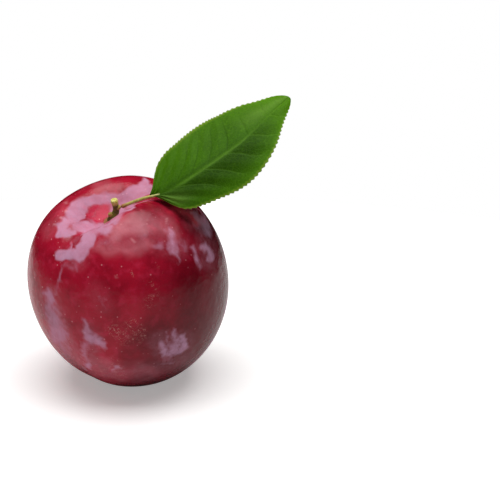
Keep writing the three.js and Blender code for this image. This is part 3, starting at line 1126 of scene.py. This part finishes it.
        # Painted shade: a band just outside the cavity's rim on the +X side, and the skin towards +X and below, are
        # painted darker.
        rim_painted_shade = 0.4 * gauss((radius - self.rim_radius - 2.0) / 6.0) * by_stalk
        rim_painted_shade = rim_painted_shade * smooth((normals[:, 0] + 0.4) / 0.6)
        painted_shade_side = smooth(normals @ np.array(self.painted_shade_side) + 0.3)
        return {
            "bloom": np.maximum(front * seen + back * (1 - seen), hidden_floor * 0.9),
            "haze": front_haze * seen + back_haze * (1 - seen),
            "rosy": rosy,
            "rubbed": rubbed * seen * in_bowl,
            "shaded": drawn(LEAF_SHADOW_LIFT_PATCHES) * seen,
            "dusk": np.maximum(painted_shade_side, rim_painted_shade) * (1 - rosy),
            "sheltered": smooth((self.rim_radius + 5.0 - radius) / 8.0) * by_stalk,
            "scuff": drawn(SCUFF_PATCHES) * seen + back_scuff * (1 - seen),
            "dots": drawn(DOT_PATCHES) * seen,
            "russet": smooth((self.russet_radius - radius) / 1.6) * by_stalk,
            "scar": smooth((self.scar_radius - radius) / 1.0) * (theta > np.pi / 2),
        }

    def shape(self) -> Shape:
        """The skin as one closed grid: rings from the stalk end down, closer where the skin bends most.

        Returns:
            The shape, with the values that the skin's finish reads.
        """
        share = np.arange(1, self.rings + 1) / (self.rings + 1)
        theta = np.pi * (share - self.ring_crowding * np.sin(2 * np.pi * share))
        turn = even_turns(self.turns)
        phi = self.suture_turn + turn - self.turn_crowding * np.sin(turn)
        theta, phi = np.meshgrid(theta, phi, indexing="ij")
        radius, height = self.local(theta, phi)
        skin = self.placed(radius, phi, height)
        round_axis = np.roll(skin, -1, axis=1) - np.roll(skin, 1, axis=1)
        normals = unit(np.cross(np.gradient(skin, axis=0), round_axis))
        pole_theta, pole_phi = np.array([0.0, np.pi]), np.zeros(2)
        pole_radius, pole_height = self.local(pole_theta, pole_phi)
        poles = self.placed(pole_radius, pole_phi, pole_height)
        points = np.vstack([skin.reshape(-1, 3), poles])
        normals = np.vstack([normals.reshape(-1, 3), unit(poles - np.array(self.centre))])
        radius = np.concatenate([radius.ravel(), pole_radius])
        theta = np.concatenate([theta.ravel(), pole_theta])
        return Shape(points, ring_faces(self.rings, self.turns), self.fields(points, normals, radius, theta))

    def build(self, finish: bpy.types.Material) -> bpy.types.Object:
        """Makes the fruit, gives it its skin and lets it stand for the fruit's solid.

        Args:
            finish: the skin's material.

        Returns:
            The fruit's object.
        """
        piece = self.shape().piece("plum_fruit")
        piece.data.materials.append(finish)
        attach(piece, "root")
        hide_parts("fruit")
        return piece


# The stalk


@dataclass(frozen=True)
class BarkFinish:
    """Green woody bark, browner at the foot and the joint, with a fresh pale end where it was picked."""

    bark: Mottle = Mottle("747c26", "37300f", "7d7a26", patch_size=1.6, fleck_size=0.35, amount=0.8)
    fresh: str = "c8c050"
    core: Tint = Tint("ddd68e")
    bud: Tint = Tint("b29a4c", most=0.85)

    def make(self, mottle: bpy.types.NodeTree) -> bpy.types.Material:
        """Builds the bark's material.

        The bark is mottled green, dark brown by the foot. The field "fresh" turns it to pale wood at the picked end,
        and the field "knot" to tan at the bud and the leaf's joint. Fine ridges run along it.

        Args:
            mottle: the shared group of natural variation.

        Returns:
            The material.
        """
        made, n, shader = material("plum_bark")
        base = self.bark.place(n, mottle)
        grain = n.noise(n.where(stretch=(1.0, 1.0, 0.35)), scale=5.0, detail=4.0, rough=0.6)
        foot = n.step(n.attribute("along"), low=0.0, high=0.3, first=0.75, last=0.0)
        knot = n.step(n.plus(n.attribute("knot"), n.times(grain, 0.3)), low=0.3, high=0.9)
        picked = n.step(n.plus(n.attribute("fresh"), n.times(grain, 0.35)), low=0.4, high=0.9)
        pale = n.tint(colour_from_hex(self.fresh), self.core, n.step(n.noise(n.where(), scale=3.0), low=0.4, high=0.65))
        colour = n.tint(base.outputs["Colour"], Tint(self.bark.deeper), foot)
        colour = n.mix(picked, n.tint(colour, self.bud, knot), pale)
        rough = n.blend(picked, n.blend(grain, 0.5, 0.8), 0.7)
        height = n.plus(n.times(grain, 0.7), n.times(base.outputs["Height"], 0.5))
        n.fill(shader, Base_Color=colour, Roughness=rough, Normal=n.bump(height, depth=0.12, strength=0.9), IOR=1.45)
        return made


@dataclass
class Stalk:
    """The short stalk in the cavity, with a swollen picked end, a bud and the joint that the leaf grew from."""

    route: tuple[Point, ...] = (
        (-5.3, -4.85, 53.2), (-5.1, -5.05, 54.55), (-4.45, -5.2, 55.45),
        (-4.1, -5.5, 57.0), (-4.3, -6.0, 58.8), (-4.6, -6.4, 60.4),
    )
    radii: tuple[float, ...] = (1.6, 1.15, 1.0, 0.92, 0.95, 1.1)
    bud_at: Point = (-5.75, -5.5, 55.35)
    bud_radius: float = 0.75
    joint_at: Point = (-3.4, -5.9, 57.8)
    joint_radius: float = 0.75
    foot_bulge: float = 0.35
    face_sizes: tuple[float, ...] = (0.9, 0.78, 0.62, 0.45, 0.28, 0.12)
    face_depth: float = 0.26
    fresh_from: float = 0.66
    around: int = 64
    steps: int = 150

    def body(self) -> Shape:
        """The tube: its radius passes smoothly from one named value to the next, with bark ridges along it.

        Ridges are waves round the ring that wander along the length. The picked end has a raised lip, and its last
        ring goes on as the rings of a dished, fibrous face.

        Returns:
            The closed shape, with the values along, fresh and knot.
        """
        curve = Curve(self.route)
        shares = np.linspace(0, 1, self.steps)
        place = shares * (len(self.radii) - 1)
        i = np.minimum(len(self.radii) - 2, place.astype(int))
        values = np.array(self.radii)
        base = values[i] + (values[i + 1] - values[i]) * smooth(place - i)
        t, s = np.meshgrid(even_turns(self.around), shares)
        ridges = 0.5 * np.sin(9 * t + 5 * np.sin(4 * s)) + 0.3 * np.sin(15 * t - 7 * s) + 0.2 * np.sin(4 * t + 19 * s)
        rings = 0.5 * np.sin(70 * s + 1.2 * np.sin(3 * t)) * gauss((s - 0.32) / 0.16)
        lip = 0.05 * gauss((s - 0.93) / 0.03) - 0.12 * gauss((s - 1.0) / 0.035)
        radius = base[:, None] * (1 + 0.035 * ridges + 0.02 * rings + lip)
        bark = tube(curve, shares, radius, bulges=(self.foot_bulge, 0.0)).points
        face, middle = self.face(curve, radius[-1])
        points = np.vstack([bark[:-2], face, bark[-2:-1], middle])
        on_bark = np.repeat(shares, self.around)
        along = np.concatenate([on_bark, np.ones(len(face)), [0.0, 1.0]])
        fresh = np.concatenate([smooth((on_bark - self.fresh_from) / 0.3), np.ones(len(face)), [0.0, 1.0]])
        values = {"along": along, "fresh": fresh, "knot": np.zeros(len(along))}
        return Shape(points, ring_faces(self.steps + len(self.face_sizes), self.around), values)

    def face(self, curve: Curve, edge: np.ndarray) -> tuple[np.ndarray, np.ndarray]:
        """The dished face of the picked end: rings that shrink to its middle, sunk by a bell and roughened.

        Args:
            curve: the stalk's line.
            edge: the radius at each point of the last ring of the bark.

        Returns:
            The points of the rings, and the point in the middle.
        """
        end = np.array([1.0])
        forward = curve.forward(end)
        sizes = np.array(self.face_sizes)
        flat = spokes(forward, self.around) * (sizes[:, None] * edge[None])[..., None]
        sunk = 0.06 - 0.3 * gauss(sizes / 0.5)[:, None] + 0.05 * ripples(flat, 0.7, seed=31)
        points = curve.at(end) + flat + forward * sunk[..., None]
        return points.reshape(-1, 3), curve.at(end) - forward * self.face_depth

    def build(self, finish: bpy.types.Material) -> bpy.types.Object:
        """Makes the stalk with its bud and joint, and lets it stand for the stalk's solid.

        Args:
            finish: the bark's material.

        Returns:
            The stalk's object.
        """
        knob = ball(self.bud_at, self.bud_radius, rough=0.06, seed=41)
        joint = ball(self.joint_at, self.joint_radius, rough=0.05, seed=42)
        for part in (knob, joint):
            part.values = {"along": np.full(len(part.points), 0.5), "knot": np.ones(len(part.points))}
        piece = self.body().joined(knob).joined(joint).piece("plum_stalk")
        piece.data.materials.append(finish)
        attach(piece, "root")
        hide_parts("stalk")
        return piece


# The leaf


@dataclass(frozen=True)
class LeafFinish:
    """A fresh plum leaf: glossy mid green above with paler veins, dull grey green below."""

    upper: Mottle = Mottle("386402", "203f00", "4c7c0c", patch_size=9.0, fleck_size=0.9, amount=0.45)
    # The paler green of a painted highlight on the upper face.
    sheen: Tint = Tint("6e9638")
    web: Tint = Tint("6c9c30", most=0.12)
    # Painted shade in the creases of the veins and a fold, on the upper face.
    crease: Tint = Tint("203f00", most=0.6)
    vein: Tint = Tint("6c9c30", most=0.36)
    margin: Tint = Tint("8fa638", most=0.5)
    under: str = "8aa66c"
    under_deep: Tint = Tint("7a9a5c")
    under_web: Tint = Tint("b9cc93", most=0.4)
    under_vein: Tint = Tint("b9cc93")

    def net(self, n: Nodes, place: Socket) -> Socket:
        """The net of small veins: the borders of cells, and fainter borders of smaller ones between them.

        Args:
            n: the material's helper.
            place: object coordinates in millimetres.

        Returns:
            The net's strength.
        """
        coarse, fine = (n.cells(place, scale, "DISTANCE_TO_EDGE").outputs["Distance"] for scale in (1.05, 2.6))
        wide, thin = n.step(coarse, 0.0, 0.13, first=1.0, last=0.0), n.step(fine, 0.0, 0.12, first=1.0, last=0.0)
        return n.larger(wide, n.times(thin, 0.5))

    def make(self, mottle: bpy.types.NodeTree) -> bpy.types.Material:
        """Builds the leaf's material.

        The field "vein" is 1 on the midrib and the pale side veins, and "crease" on the side veins of the left half and
        on a fold beside the midrib, which the upper face paints dark as shade in their creases. The field "under" is 1
        on the lower face, "light" is painted light, high by the tip, towards the left margin and by the right margin,
        "shade" is painted shade over the right half beside the midrib, "sheen" is a painted highlight on the left half
        by the tip and a glint on the right half by the base, and "edge" lies along the margin.

        Args:
            mottle: the shared group of natural variation.

        Returns:
            The material.
        """
        made, n, shader = material("plum_leaf")
        place = n.where()
        web = self.net(n, place)
        under, vein, crease = (n.attribute(name) for name in ("under", "vein", "crease"))
        colour = self.upper.place(n, mottle).outputs["Colour"]
        for tint, mask in (
            (Tint(self.upper.paler), n.attribute("light")),
            (Tint(self.upper.deeper), n.attribute("shade")),
            (self.sheen, n.attribute("sheen")),
            (self.web, web),
            (self.crease, crease),
            (self.vein, vein),
            (self.margin, n.attribute("edge")),
        ):
            colour = n.tint(colour, tint, mask)
        below = n.tint(colour_from_hex(self.under), self.under_deep, n.noise(place, scale=0.5))
        below = n.tint(n.tint(below, self.under_web, web), self.under_vein, n.larger(vein, crease))
        grain, relief = n.times(n.noise(place, scale=6.0, detail=3.0, rough=0.6), 0.3), n.times(web, 0.6)
        height = n.blend(under, n.less(grain, relief), n.plus(grain, relief))
        n.fill(
            shader, Base_Color=n.mix(under, colour, below), Roughness=n.blend(under, n.blend(web, 0.42, 0.5), 0.7),
            Normal=n.bump(height, depth=0.1, strength=0.7), IOR=1.38, Specular_IOR_Level=0.08,
            Subsurface_Weight=0.1, Subsurface_Radius=(0.0006, 0.001, 0.0003), Subsurface_Scale=1.0,
        )
        return made


@dataclass(frozen=True)
class PetioleFinish:
    """The leaf's thin stem and the rib under its blade: smooth yellow green, browner where it joins the stalk."""

    stem: Mottle = Mottle("bdb95c", "9c943c", "cdd292", patch_size=3.0, fleck_size=0.5, amount=0.7)
    brown: Tint = Tint("9a5a2a")

    def make(self, mottle: bpy.types.NodeTree) -> bpy.types.Material:
        """Builds the petiole's material: mottled green, brown by the stalk, paler under the blade.

        Args:
            mottle: the shared group of natural variation.

        Returns:
            The material.
        """
        made, n, shader = material("plum_petiole")
        along = n.attribute("along")
        colour = self.stem.place(n, mottle).outputs["Colour"]
        colour = n.tint(colour, self.brown, n.step(along, low=0.0, high=0.05, first=0.9, last=0.0))
        colour = n.tint(colour, Tint(self.stem.paler), n.step(along, low=0.12, high=0.22, first=0.0, last=0.7))
        grain = n.noise(n.where(stretch=(0.3, 1.0, 1.0)), scale=5.0)
        relief = n.bump(grain, depth=0.06, strength=0.7)
        n.fill(shader, Base_Color=colour, Roughness=n.blend(grain, 0.4, 0.65), Normal=relief)
        return made


@dataclass(frozen=True)
class Half:
    """One half of the blade: its half widths from base to tip, and where its side veins leave the midrib."""

    widths: tuple[float, ...]
    veins: tuple[float, ...]

    def width(self, share: np.ndarray) -> np.ndarray:
        """Half the blade's width.

        The widths stand at even steps of an angle that opens from the base to the tip, which rounds both ends, with a
        cubic between each two whose slopes come from their neighbours.

        Args:
            share: places along the blade.

        Returns:
            Half widths in millimetres.
        """
        values = np.array(self.widths)
        place = np.arccos(np.clip(1 - 2 * share, -1, 1)) / np.pi * (len(values) - 1)
        i = np.clip(np.floor(place).astype(int), 0, len(values) - 2)
        t = place - i
        around = np.concatenate([[-values[1]], values, [-values[-2]]])
        rise = around[i + 2] - around[i + 1]
        leave = (around[i + 2] - around[i]) / 2
        reach = (around[i + 3] - around[i + 1]) / 2
        return around[i + 1] + leave * t + (3 * rise - 2 * leave - reach) * t**2 + (leave + reach - 2 * rise) * t**3

    def vein_place(self, share: np.ndarray) -> np.ndarray:
        """Counts side veins along the midrib: a whole number where one leaves it, halves midway between two.

        Args:
            share: places along the blade; below 0 the count runs on below 0.

        Returns:
            The count at each place.
        """
        marks = np.array([0.0, *self.veins, 1.0])
        count = np.interp(share, marks, np.arange(len(marks)))
        return np.where(share < 0, share / marks[1], count)


def sheet_faces(rows: int, columns: int) -> list[np.ndarray]:
    """Faces of a closed body of two sheets: an upper and a lower grid of points, joined round their edges.

    Args:
        rows: rows of each grid.
        columns: points in each row.

    Returns:
        Quads of the upper sheet, of the lower one and of the four edges.
    """
    below = rows * columns
    i, j = np.arange(rows - 1) * columns, np.arange(columns - 1)
    a = (i[:, None] + j).ravel()
    top = np.stack([a, a + columns, a + columns + 1, a + 1], axis=-1)
    under = below + np.stack([a, a + 1, a + columns + 1, a + columns], axis=-1)
    left = i + columns - 1
    end = (rows - 1) * columns + j
    sides = [
        np.stack([i, below + i, below + i + columns, i + columns], axis=-1),
        np.stack([left, left + columns, below + left + columns, below + left], axis=-1),
        np.stack([j, j + 1, below + j + 1, below + j], axis=-1),
        np.stack([end, below + end, below + end + 1, end + 1], axis=-1),
    ]
    return [top, under] + sides


@dataclass
class Leaf:
    """One leaf on its petiole: a toothed, veined blade over the fruit's shoulder, and the rib that carries it."""

    rib: tuple[Point, ...] = (
        (-2.2, -6.1, 58.2), (1.4, -6.6, 59.95), (5.0, -7.3, 61.5), (8.1, -8.2, 62.65), (12.4, -8.6, 64.4),
        (17.7, -7.8, 67.6), (21.4, -6.8, 69.85), (27.3, -4.2, 73.2), (33.7, -0.4, 76.9), (40.1, 5.6, 81.3),
        (47.1, 13.6, 84.9),
    )
    blade_from: float = 0.145
    rows_turn_from: float = 0.3
    petiole_radius: float = 0.5
    rib_end_radius: float = 0.14
    rib_until: float = 0.955
    rib_rings: int = 260
    rib_around: int = 28
    facing: Point = (-0.15, -0.72, 0.68)
    left: Half = Half((0, 2.8, 10.6, 12.8, 13.8, 11.9, 6.7, 3.5, 0), (0.13, 0.24, 0.36, 0.49, 0.64, 0.8))
    right: Half = Half((0, 0.8, 7.2, 9.6, 11, 8.3, 4.4, 2, 0), (0.16, 0.33, 0.49, 0.65, 0.82))
    thickness: float = 0.42
    margin_thickness: float = 0.2
    rise_over_rib: float = 0.42
    droop: float = math.radians(7.5)
    curl: float = 0.05
    wave_size: float = 0.8
    wave_count: float = 1.4
    wave_phase: float = -0.2
    wave_offset: float = 1.7
    teeth: int = 40
    tooth_depth: float = 0.4
    tooth_lean: float = 0.7
    vein_sweep: float = 0.45
    vein_spacing: float = 7.0
    quilting: float = 0.3
    vein_relief: float = 0.16
    blade_rows: Pixel = (0.03, 0.97)
    along: int = 361
    across: int = 113

    def spans(self) -> np.ndarray:
        """Places across the blade from -1 to 1, closer by the midrib and by the margins."""
        even = np.linspace(-1, 1, self.across)
        return even + 0.12 * np.sin(2 * np.pi * even) / np.pi

    def middle(self, share: np.ndarray, span: np.ndarray) -> tuple[np.ndarray, np.ndarray, np.ndarray]:
        """The blade's middle surface.

        A point stands at the rib's point, plus the span times the half width (with its teeth) across it, plus a lift:
        the droop and curl of each half, a wave of the margin, and swelling between the side veins.

        Args:
            share: places along the blade, 0 at its base and 1 at its tip.
            span: places across it, -1 at the right margin and 1 at the left.

        Returns:
            The points, the upward directions, and the half width at each point.
        """
        curve = Curve(self.rib)
        on_rib = self.blade_from + (1 - self.blade_from) * share
        forward = curve.forward(np.maximum(on_rib, self.rows_turn_from))
        sideways = unit(np.cross(unit(np.array(self.facing)), forward))
        up = np.cross(forward, sideways)
        distance = np.abs(span)
        from_notch = (share * self.teeth) % 1
        rise = np.minimum(from_notch / self.tooth_lean, (1 - from_notch) / (1 - self.tooth_lean))
        tooth = self.tooth_depth * (smooth(rise) - 0.5) * smooth((distance - 0.8) / 0.2) * smooth(4 * share)
        width = np.where(span > 0, self.left.width(share), self.right.width(share)) + tooth * smooth(8 * (1 - share))
        swelling = self.quilting * np.sin(np.pi * self.vein_place(share, span)) ** 2 * np.sin(np.pi * distance)
        phase = self.wave_phase + np.where(span > 0, 0, self.wave_offset)
        waving = np.sin(2 * np.pi * self.wave_count * share + phase)
        lift = self.rise_over_rib * smooth(12 * share) + swelling
        lift = lift - width * (distance * math.sin(self.droop) + self.curl * distance**2)
        lift = lift + self.wave_size * waving * distance**2 * np.sin(np.pi * share)
        points = curve.at(on_rib) + sideways * (span * width * math.cos(self.droop))[..., None] + up * lift[..., None]
        return points, up, width

    def vein_place(self, share: np.ndarray, span: np.ndarray) -> np.ndarray:
        """Counts side veins over the blade: whole numbers on them, as they run forward from midrib to margin."""
        origin = share - self.vein_sweep * np.abs(span) * (1 - share)
        return np.where(span > 0, self.left.vein_place(origin), self.right.vein_place(origin))

    def veins(self, share: np.ndarray, span: np.ndarray, width: np.ndarray) -> tuple[np.ndarray, np.ndarray]:
        """How strongly each point lies on a vein.

        A side vein is a bell of the distance to the nearest whole vein place, thinner and fainter towards the margin,
        and the midrib is a bell of the distance to the middle, thinner towards the tip.

        Args:
            share: places along the blade.
            span: places across it.
            width: half width at each point, in millimetres.

        Returns:
            Values from 0 to 1 for the midrib and for the side veins.
        """
        distance = np.abs(span)
        wander = 0.06 * np.sin(9 * distance + 5 * share) * distance
        place = self.vein_place(share, span) + wander
        off = np.abs(place - np.round(place)) * self.vein_spacing
        count = np.where(span > 0, len(self.left.veins), len(self.right.veins))
        inside = (np.round(place) > 0.4) & (np.round(place) < count + 0.6)
        side = gauss(off / (0.3 - 0.14 * distance)) * smooth((0.98 - distance) / 0.45) * inside
        middle = gauss(distance * width / (0.62 - 0.42 * share))
        return middle, side * (0.85 - 0.3 * distance)

    def tints(
        self, share: np.ndarray, span: np.ndarray, width: np.ndarray, midrib: np.ndarray, side_vein: np.ndarray
    ) -> dict[str, np.ndarray]:
        """The values that the leaf's finish reads: bells and smooth steps of the place on the blade.

        Args:
            share: places along the blade.
            span: places across it.
            width: half width at each point, in millimetres.
            midrib: how strongly each point lies on the midrib.
            side_vein: how strongly it lies on a side vein.

        Returns:
            vein, crease (painted shade in creases), edge, light (painted light), shade (painted shade) and sheen
            (painted highlight).
        """
        on_left = smooth(0.5 + span / 0.06)
        # Painted light: the tip, the left half towards its margin and the right margin are painted paler.
        light = smooth((share - 0.62) / 0.35) * 0.7 + 0.35 * smooth(span) * smooth((share + 0.2) / 0.5)
        light = light + 0.5 * smooth((-0.55 - span) / 0.4) * smooth((share - 0.2) / 0.3)
        # Painted shade: a dark fold beside the midrib on the left half.
        fold = 0.7 * gauss((span * width - 1.1) / 0.55) * gauss((share - 0.3) / 0.26)
        bright_midrib = midrib * (0.25 + 0.75 * smooth((share - 0.12) / 0.1) * smooth((0.72 - share) / 0.15))
        # Painted highlights: a pale band on the left half by the tip, and a glint on the right half by the base.
        highlight_by_tip = gauss((span - 0.32) / 0.22) * smooth((share - 0.6) / 0.2) * 0.35
        glint_by_base = gauss((span + 0.55) / 0.3) * gauss((share - 0.1) / 0.08) * 0.5
        return {
            "vein": np.maximum(bright_midrib, 0.6 * side_vein * (1 - on_left)),
            # Painted shade in the creases of the left half's side veins, and the fold.
            "crease": np.maximum(side_vein * on_left * smooth((0.85 - share) / 0.3), fold),
            "edge": smooth((np.abs(span) - 0.9) / 0.1),
            "light": np.clip(light, 0, 1),
            # Painted shade: the right half is painted darker beside the midrib, less over the left.
            "shade": 0.9 * gauss((span + 0.28) / 0.42) * smooth((0.92 - share) / 0.4) * (1 - 0.6 * on_left),
            "sheen": np.maximum(highlight_by_tip, glint_by_base),
        }

    def blade(self) -> Shape:
        """The blade as a closed body: an upper and a lower sheet over one grid, joined round the margin.

        The sheets stand half the thickness above and below the middle surface, less by the margin. Veins press the
        upper sheet down and stand out from the lower one.

        Returns:
            The shape, with the values that the leaf's finish reads.
        """
        rows = 0.5 - 0.5 * np.cos(np.pi * np.linspace(*self.blade_rows, self.along))
        share, span = np.meshgrid(rows, self.spans(), indexing="ij")
        middle, up, width = self.middle(share, span)
        midrib, side_vein = self.veins(share, span, width)
        vein = np.maximum(midrib, side_vein)
        by_margin = smooth((np.abs(span) - 0.6) / 0.4)
        half = 0.5 * (self.thickness + (self.margin_thickness - self.thickness) * by_margin)
        upper = middle + up * (half - self.vein_relief * vein)[..., None]
        lower = middle - up * (half + 0.8 * self.vein_relief * vein)[..., None]
        tints = self.tints(share, span, width, midrib, side_vein)
        values = {key: np.tile(value.ravel(), 2) for key, value in tints.items()}
        values["under"] = np.repeat([0.0, 1.0], share.size)
        uv = np.tile(np.stack([share, 0.5 + 0.5 * span], axis=-1).reshape(-1, 2), (2, 1))
        points = np.vstack([upper.reshape(-1, 3), lower.reshape(-1, 3)])
        return Shape(points, sheet_faces(*share.shape), values, uv)

    def petiole(self) -> Shape:
        """The petiole, which runs on under the blade as its rib: a tube with a shallow channel along its upper side.

        Returns:
            The closed shape.
        """
        shares = np.linspace(0, self.rib_until, self.rib_rings)
        turn = even_turns(self.rib_around)
        base = self.petiole_radius + (self.rib_end_radius - self.petiole_radius) * smooth((shares - 0.1) / 0.5) ** 0.6
        swollen = 1 + 0.25 * gauss(shares / 0.02)
        channel = 1 - 0.22 * gauss(turn_between(turn, math.pi * 1.5) / 0.5)
        return tube(Curve(self.rib), shares, (base * swollen)[:, None] * channel[None], bulges=(0.9, 0.5))

    def build(self, blade: bpy.types.Material, petiole: bpy.types.Material) -> list[bpy.types.Object]:
        """Makes the blade and the petiole, which together stand for the leaf's solid.

        Args:
            blade: the blade's material.
            petiole: the petiole's material.

        Returns:
            Both objects.
        """
        pieces = [self.blade().piece("plum_leaf_blade"), self.petiole().piece("plum_leaf_petiole")]
        for piece, finish in zip(pieces, (blade, petiole)):
            piece.data.materials.append(finish)
            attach(piece, "root")
            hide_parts("leaf")
        return pieces


# The studio


@dataclass
class Studio:
    """A round white floor under one soft panel, with an even fill from all round."""

    floor_radius: float = 0.36
    floor_middle: Point = (0.0, -0.22, 0.0)
    floor_colour: str = "f0f0ef"
    floor_glow: float = 0.34
    cloud_colour: Colour = (0.8, 0.8, 0.8, 1.0)
    glow_colour: Colour = (1.0, 0.96, 0.96, 1.0)
    floor_rings: int = 12
    floor_turns: int = 96
    fill: float = 0.1
    panel_power: float = 10.4
    panel_size: Pixel = (1.0, 0.7)
    panel_at: Point = (0.05, 0.0, 0.85)

    def floor(self) -> bpy.types.Object:
        """The floor: a flat disc of rings that lies mostly before the plum, with a faint unevenness in its material.

        It ends a little behind the plum, so that the far side of the skin mirrors the dark room. The camera also sees
        a faint glow of the floor, which lifts the shadow.

        Returns:
            The floor's object.
        """
        sizes = np.linspace(0, 1, self.floor_rings + 1)[1:, None] * self.floor_radius / MM
        turn = even_turns(self.floor_turns)[None]
        rings = np.stack([sizes * np.cos(turn), sizes * np.sin(turn), 0 * sizes * turn], axis=-1)
        points = np.vstack([rings.reshape(-1, 3), np.zeros((1, 3))]) + np.array(self.floor_middle) / MM
        inner = fan(self.floor_rings * self.floor_turns, 0, self.floor_turns)
        obj = Shape(points, [band(self.floor_rings, self.floor_turns), inner]).piece("floor")
        made, n, shader = material("floor_white")
        cloud = n.times(n.noise(n.where(), scale=0.004, detail=2.0), 0.1)
        seen = n.add("ShaderNodeLightPath").outputs["Is Camera Ray"]
        n.fill(
            shader, Base_Color=n.mix(cloud, colour_from_hex(self.floor_colour), self.cloud_colour), Roughness=0.7,
            Emission_Color=self.glow_colour, Emission_Strength=n.times(seen, self.floor_glow),
        )
        obj.data.materials.append(made)
        return obj

    def lights(self) -> None:
        """The panel overhead, and an even fill from all round, which the camera sees as white and gloss can't see."""
        data = bpy.data.lights.new("panel", "AREA")
        data.energy = self.panel_power
        data.shape = "RECTANGLE"
        data.size, data.size_y = self.panel_size
        lamp = bpy.data.objects.new("panel", data)
        lamp.location = self.panel_at
        bpy.context.collection.objects.link(lamp)
        world = bpy.data.worlds.new("room")
        world.use_nodes = True
        n = Nodes(world.node_tree)
        seen = n.add("ShaderNodeLightPath").outputs["Is Camera Ray"]
        white = (1.0, 1.0, 1.0, 1.0)
        back = n.fill(n.add("ShaderNodeBackground"), Color=white, Strength=n.blend(seen, self.fill, 1.0))
        n.fill(n.add("ShaderNodeOutputWorld"), Surface=back.outputs["Background"])
        bpy.context.scene.world = world
        world.cycles_visibility.glossy = False

    def build(self) -> None:
        """Sets up the floor, the lights and plain colour output."""
        self.floor()
        self.lights()
        bpy.context.scene.view_settings.view_transform = "Standard"


def main() -> None:
    """Builds the plum piece by piece, then the studio and the camera."""
    logging.basicConfig(level=logging.INFO, format="%(name)s: %(message)s")
    mottle = mottle_group()
    pieces = [Fruit().build(SkinFinish().make(mottle))]
    pieces.append(Stalk().build(BarkFinish().make(mottle)))
    pieces.extend(Leaf().build(LeafFinish().make(mottle), PetioleFinish().make(mottle)))
    for piece in pieces:
        log.info("%s: %d points, %d faces", piece.name, len(piece.data.vertices), len(piece.data.polygons))
    VIEW.make()
    Studio().build()


if __name__ == "__main__":
    main()
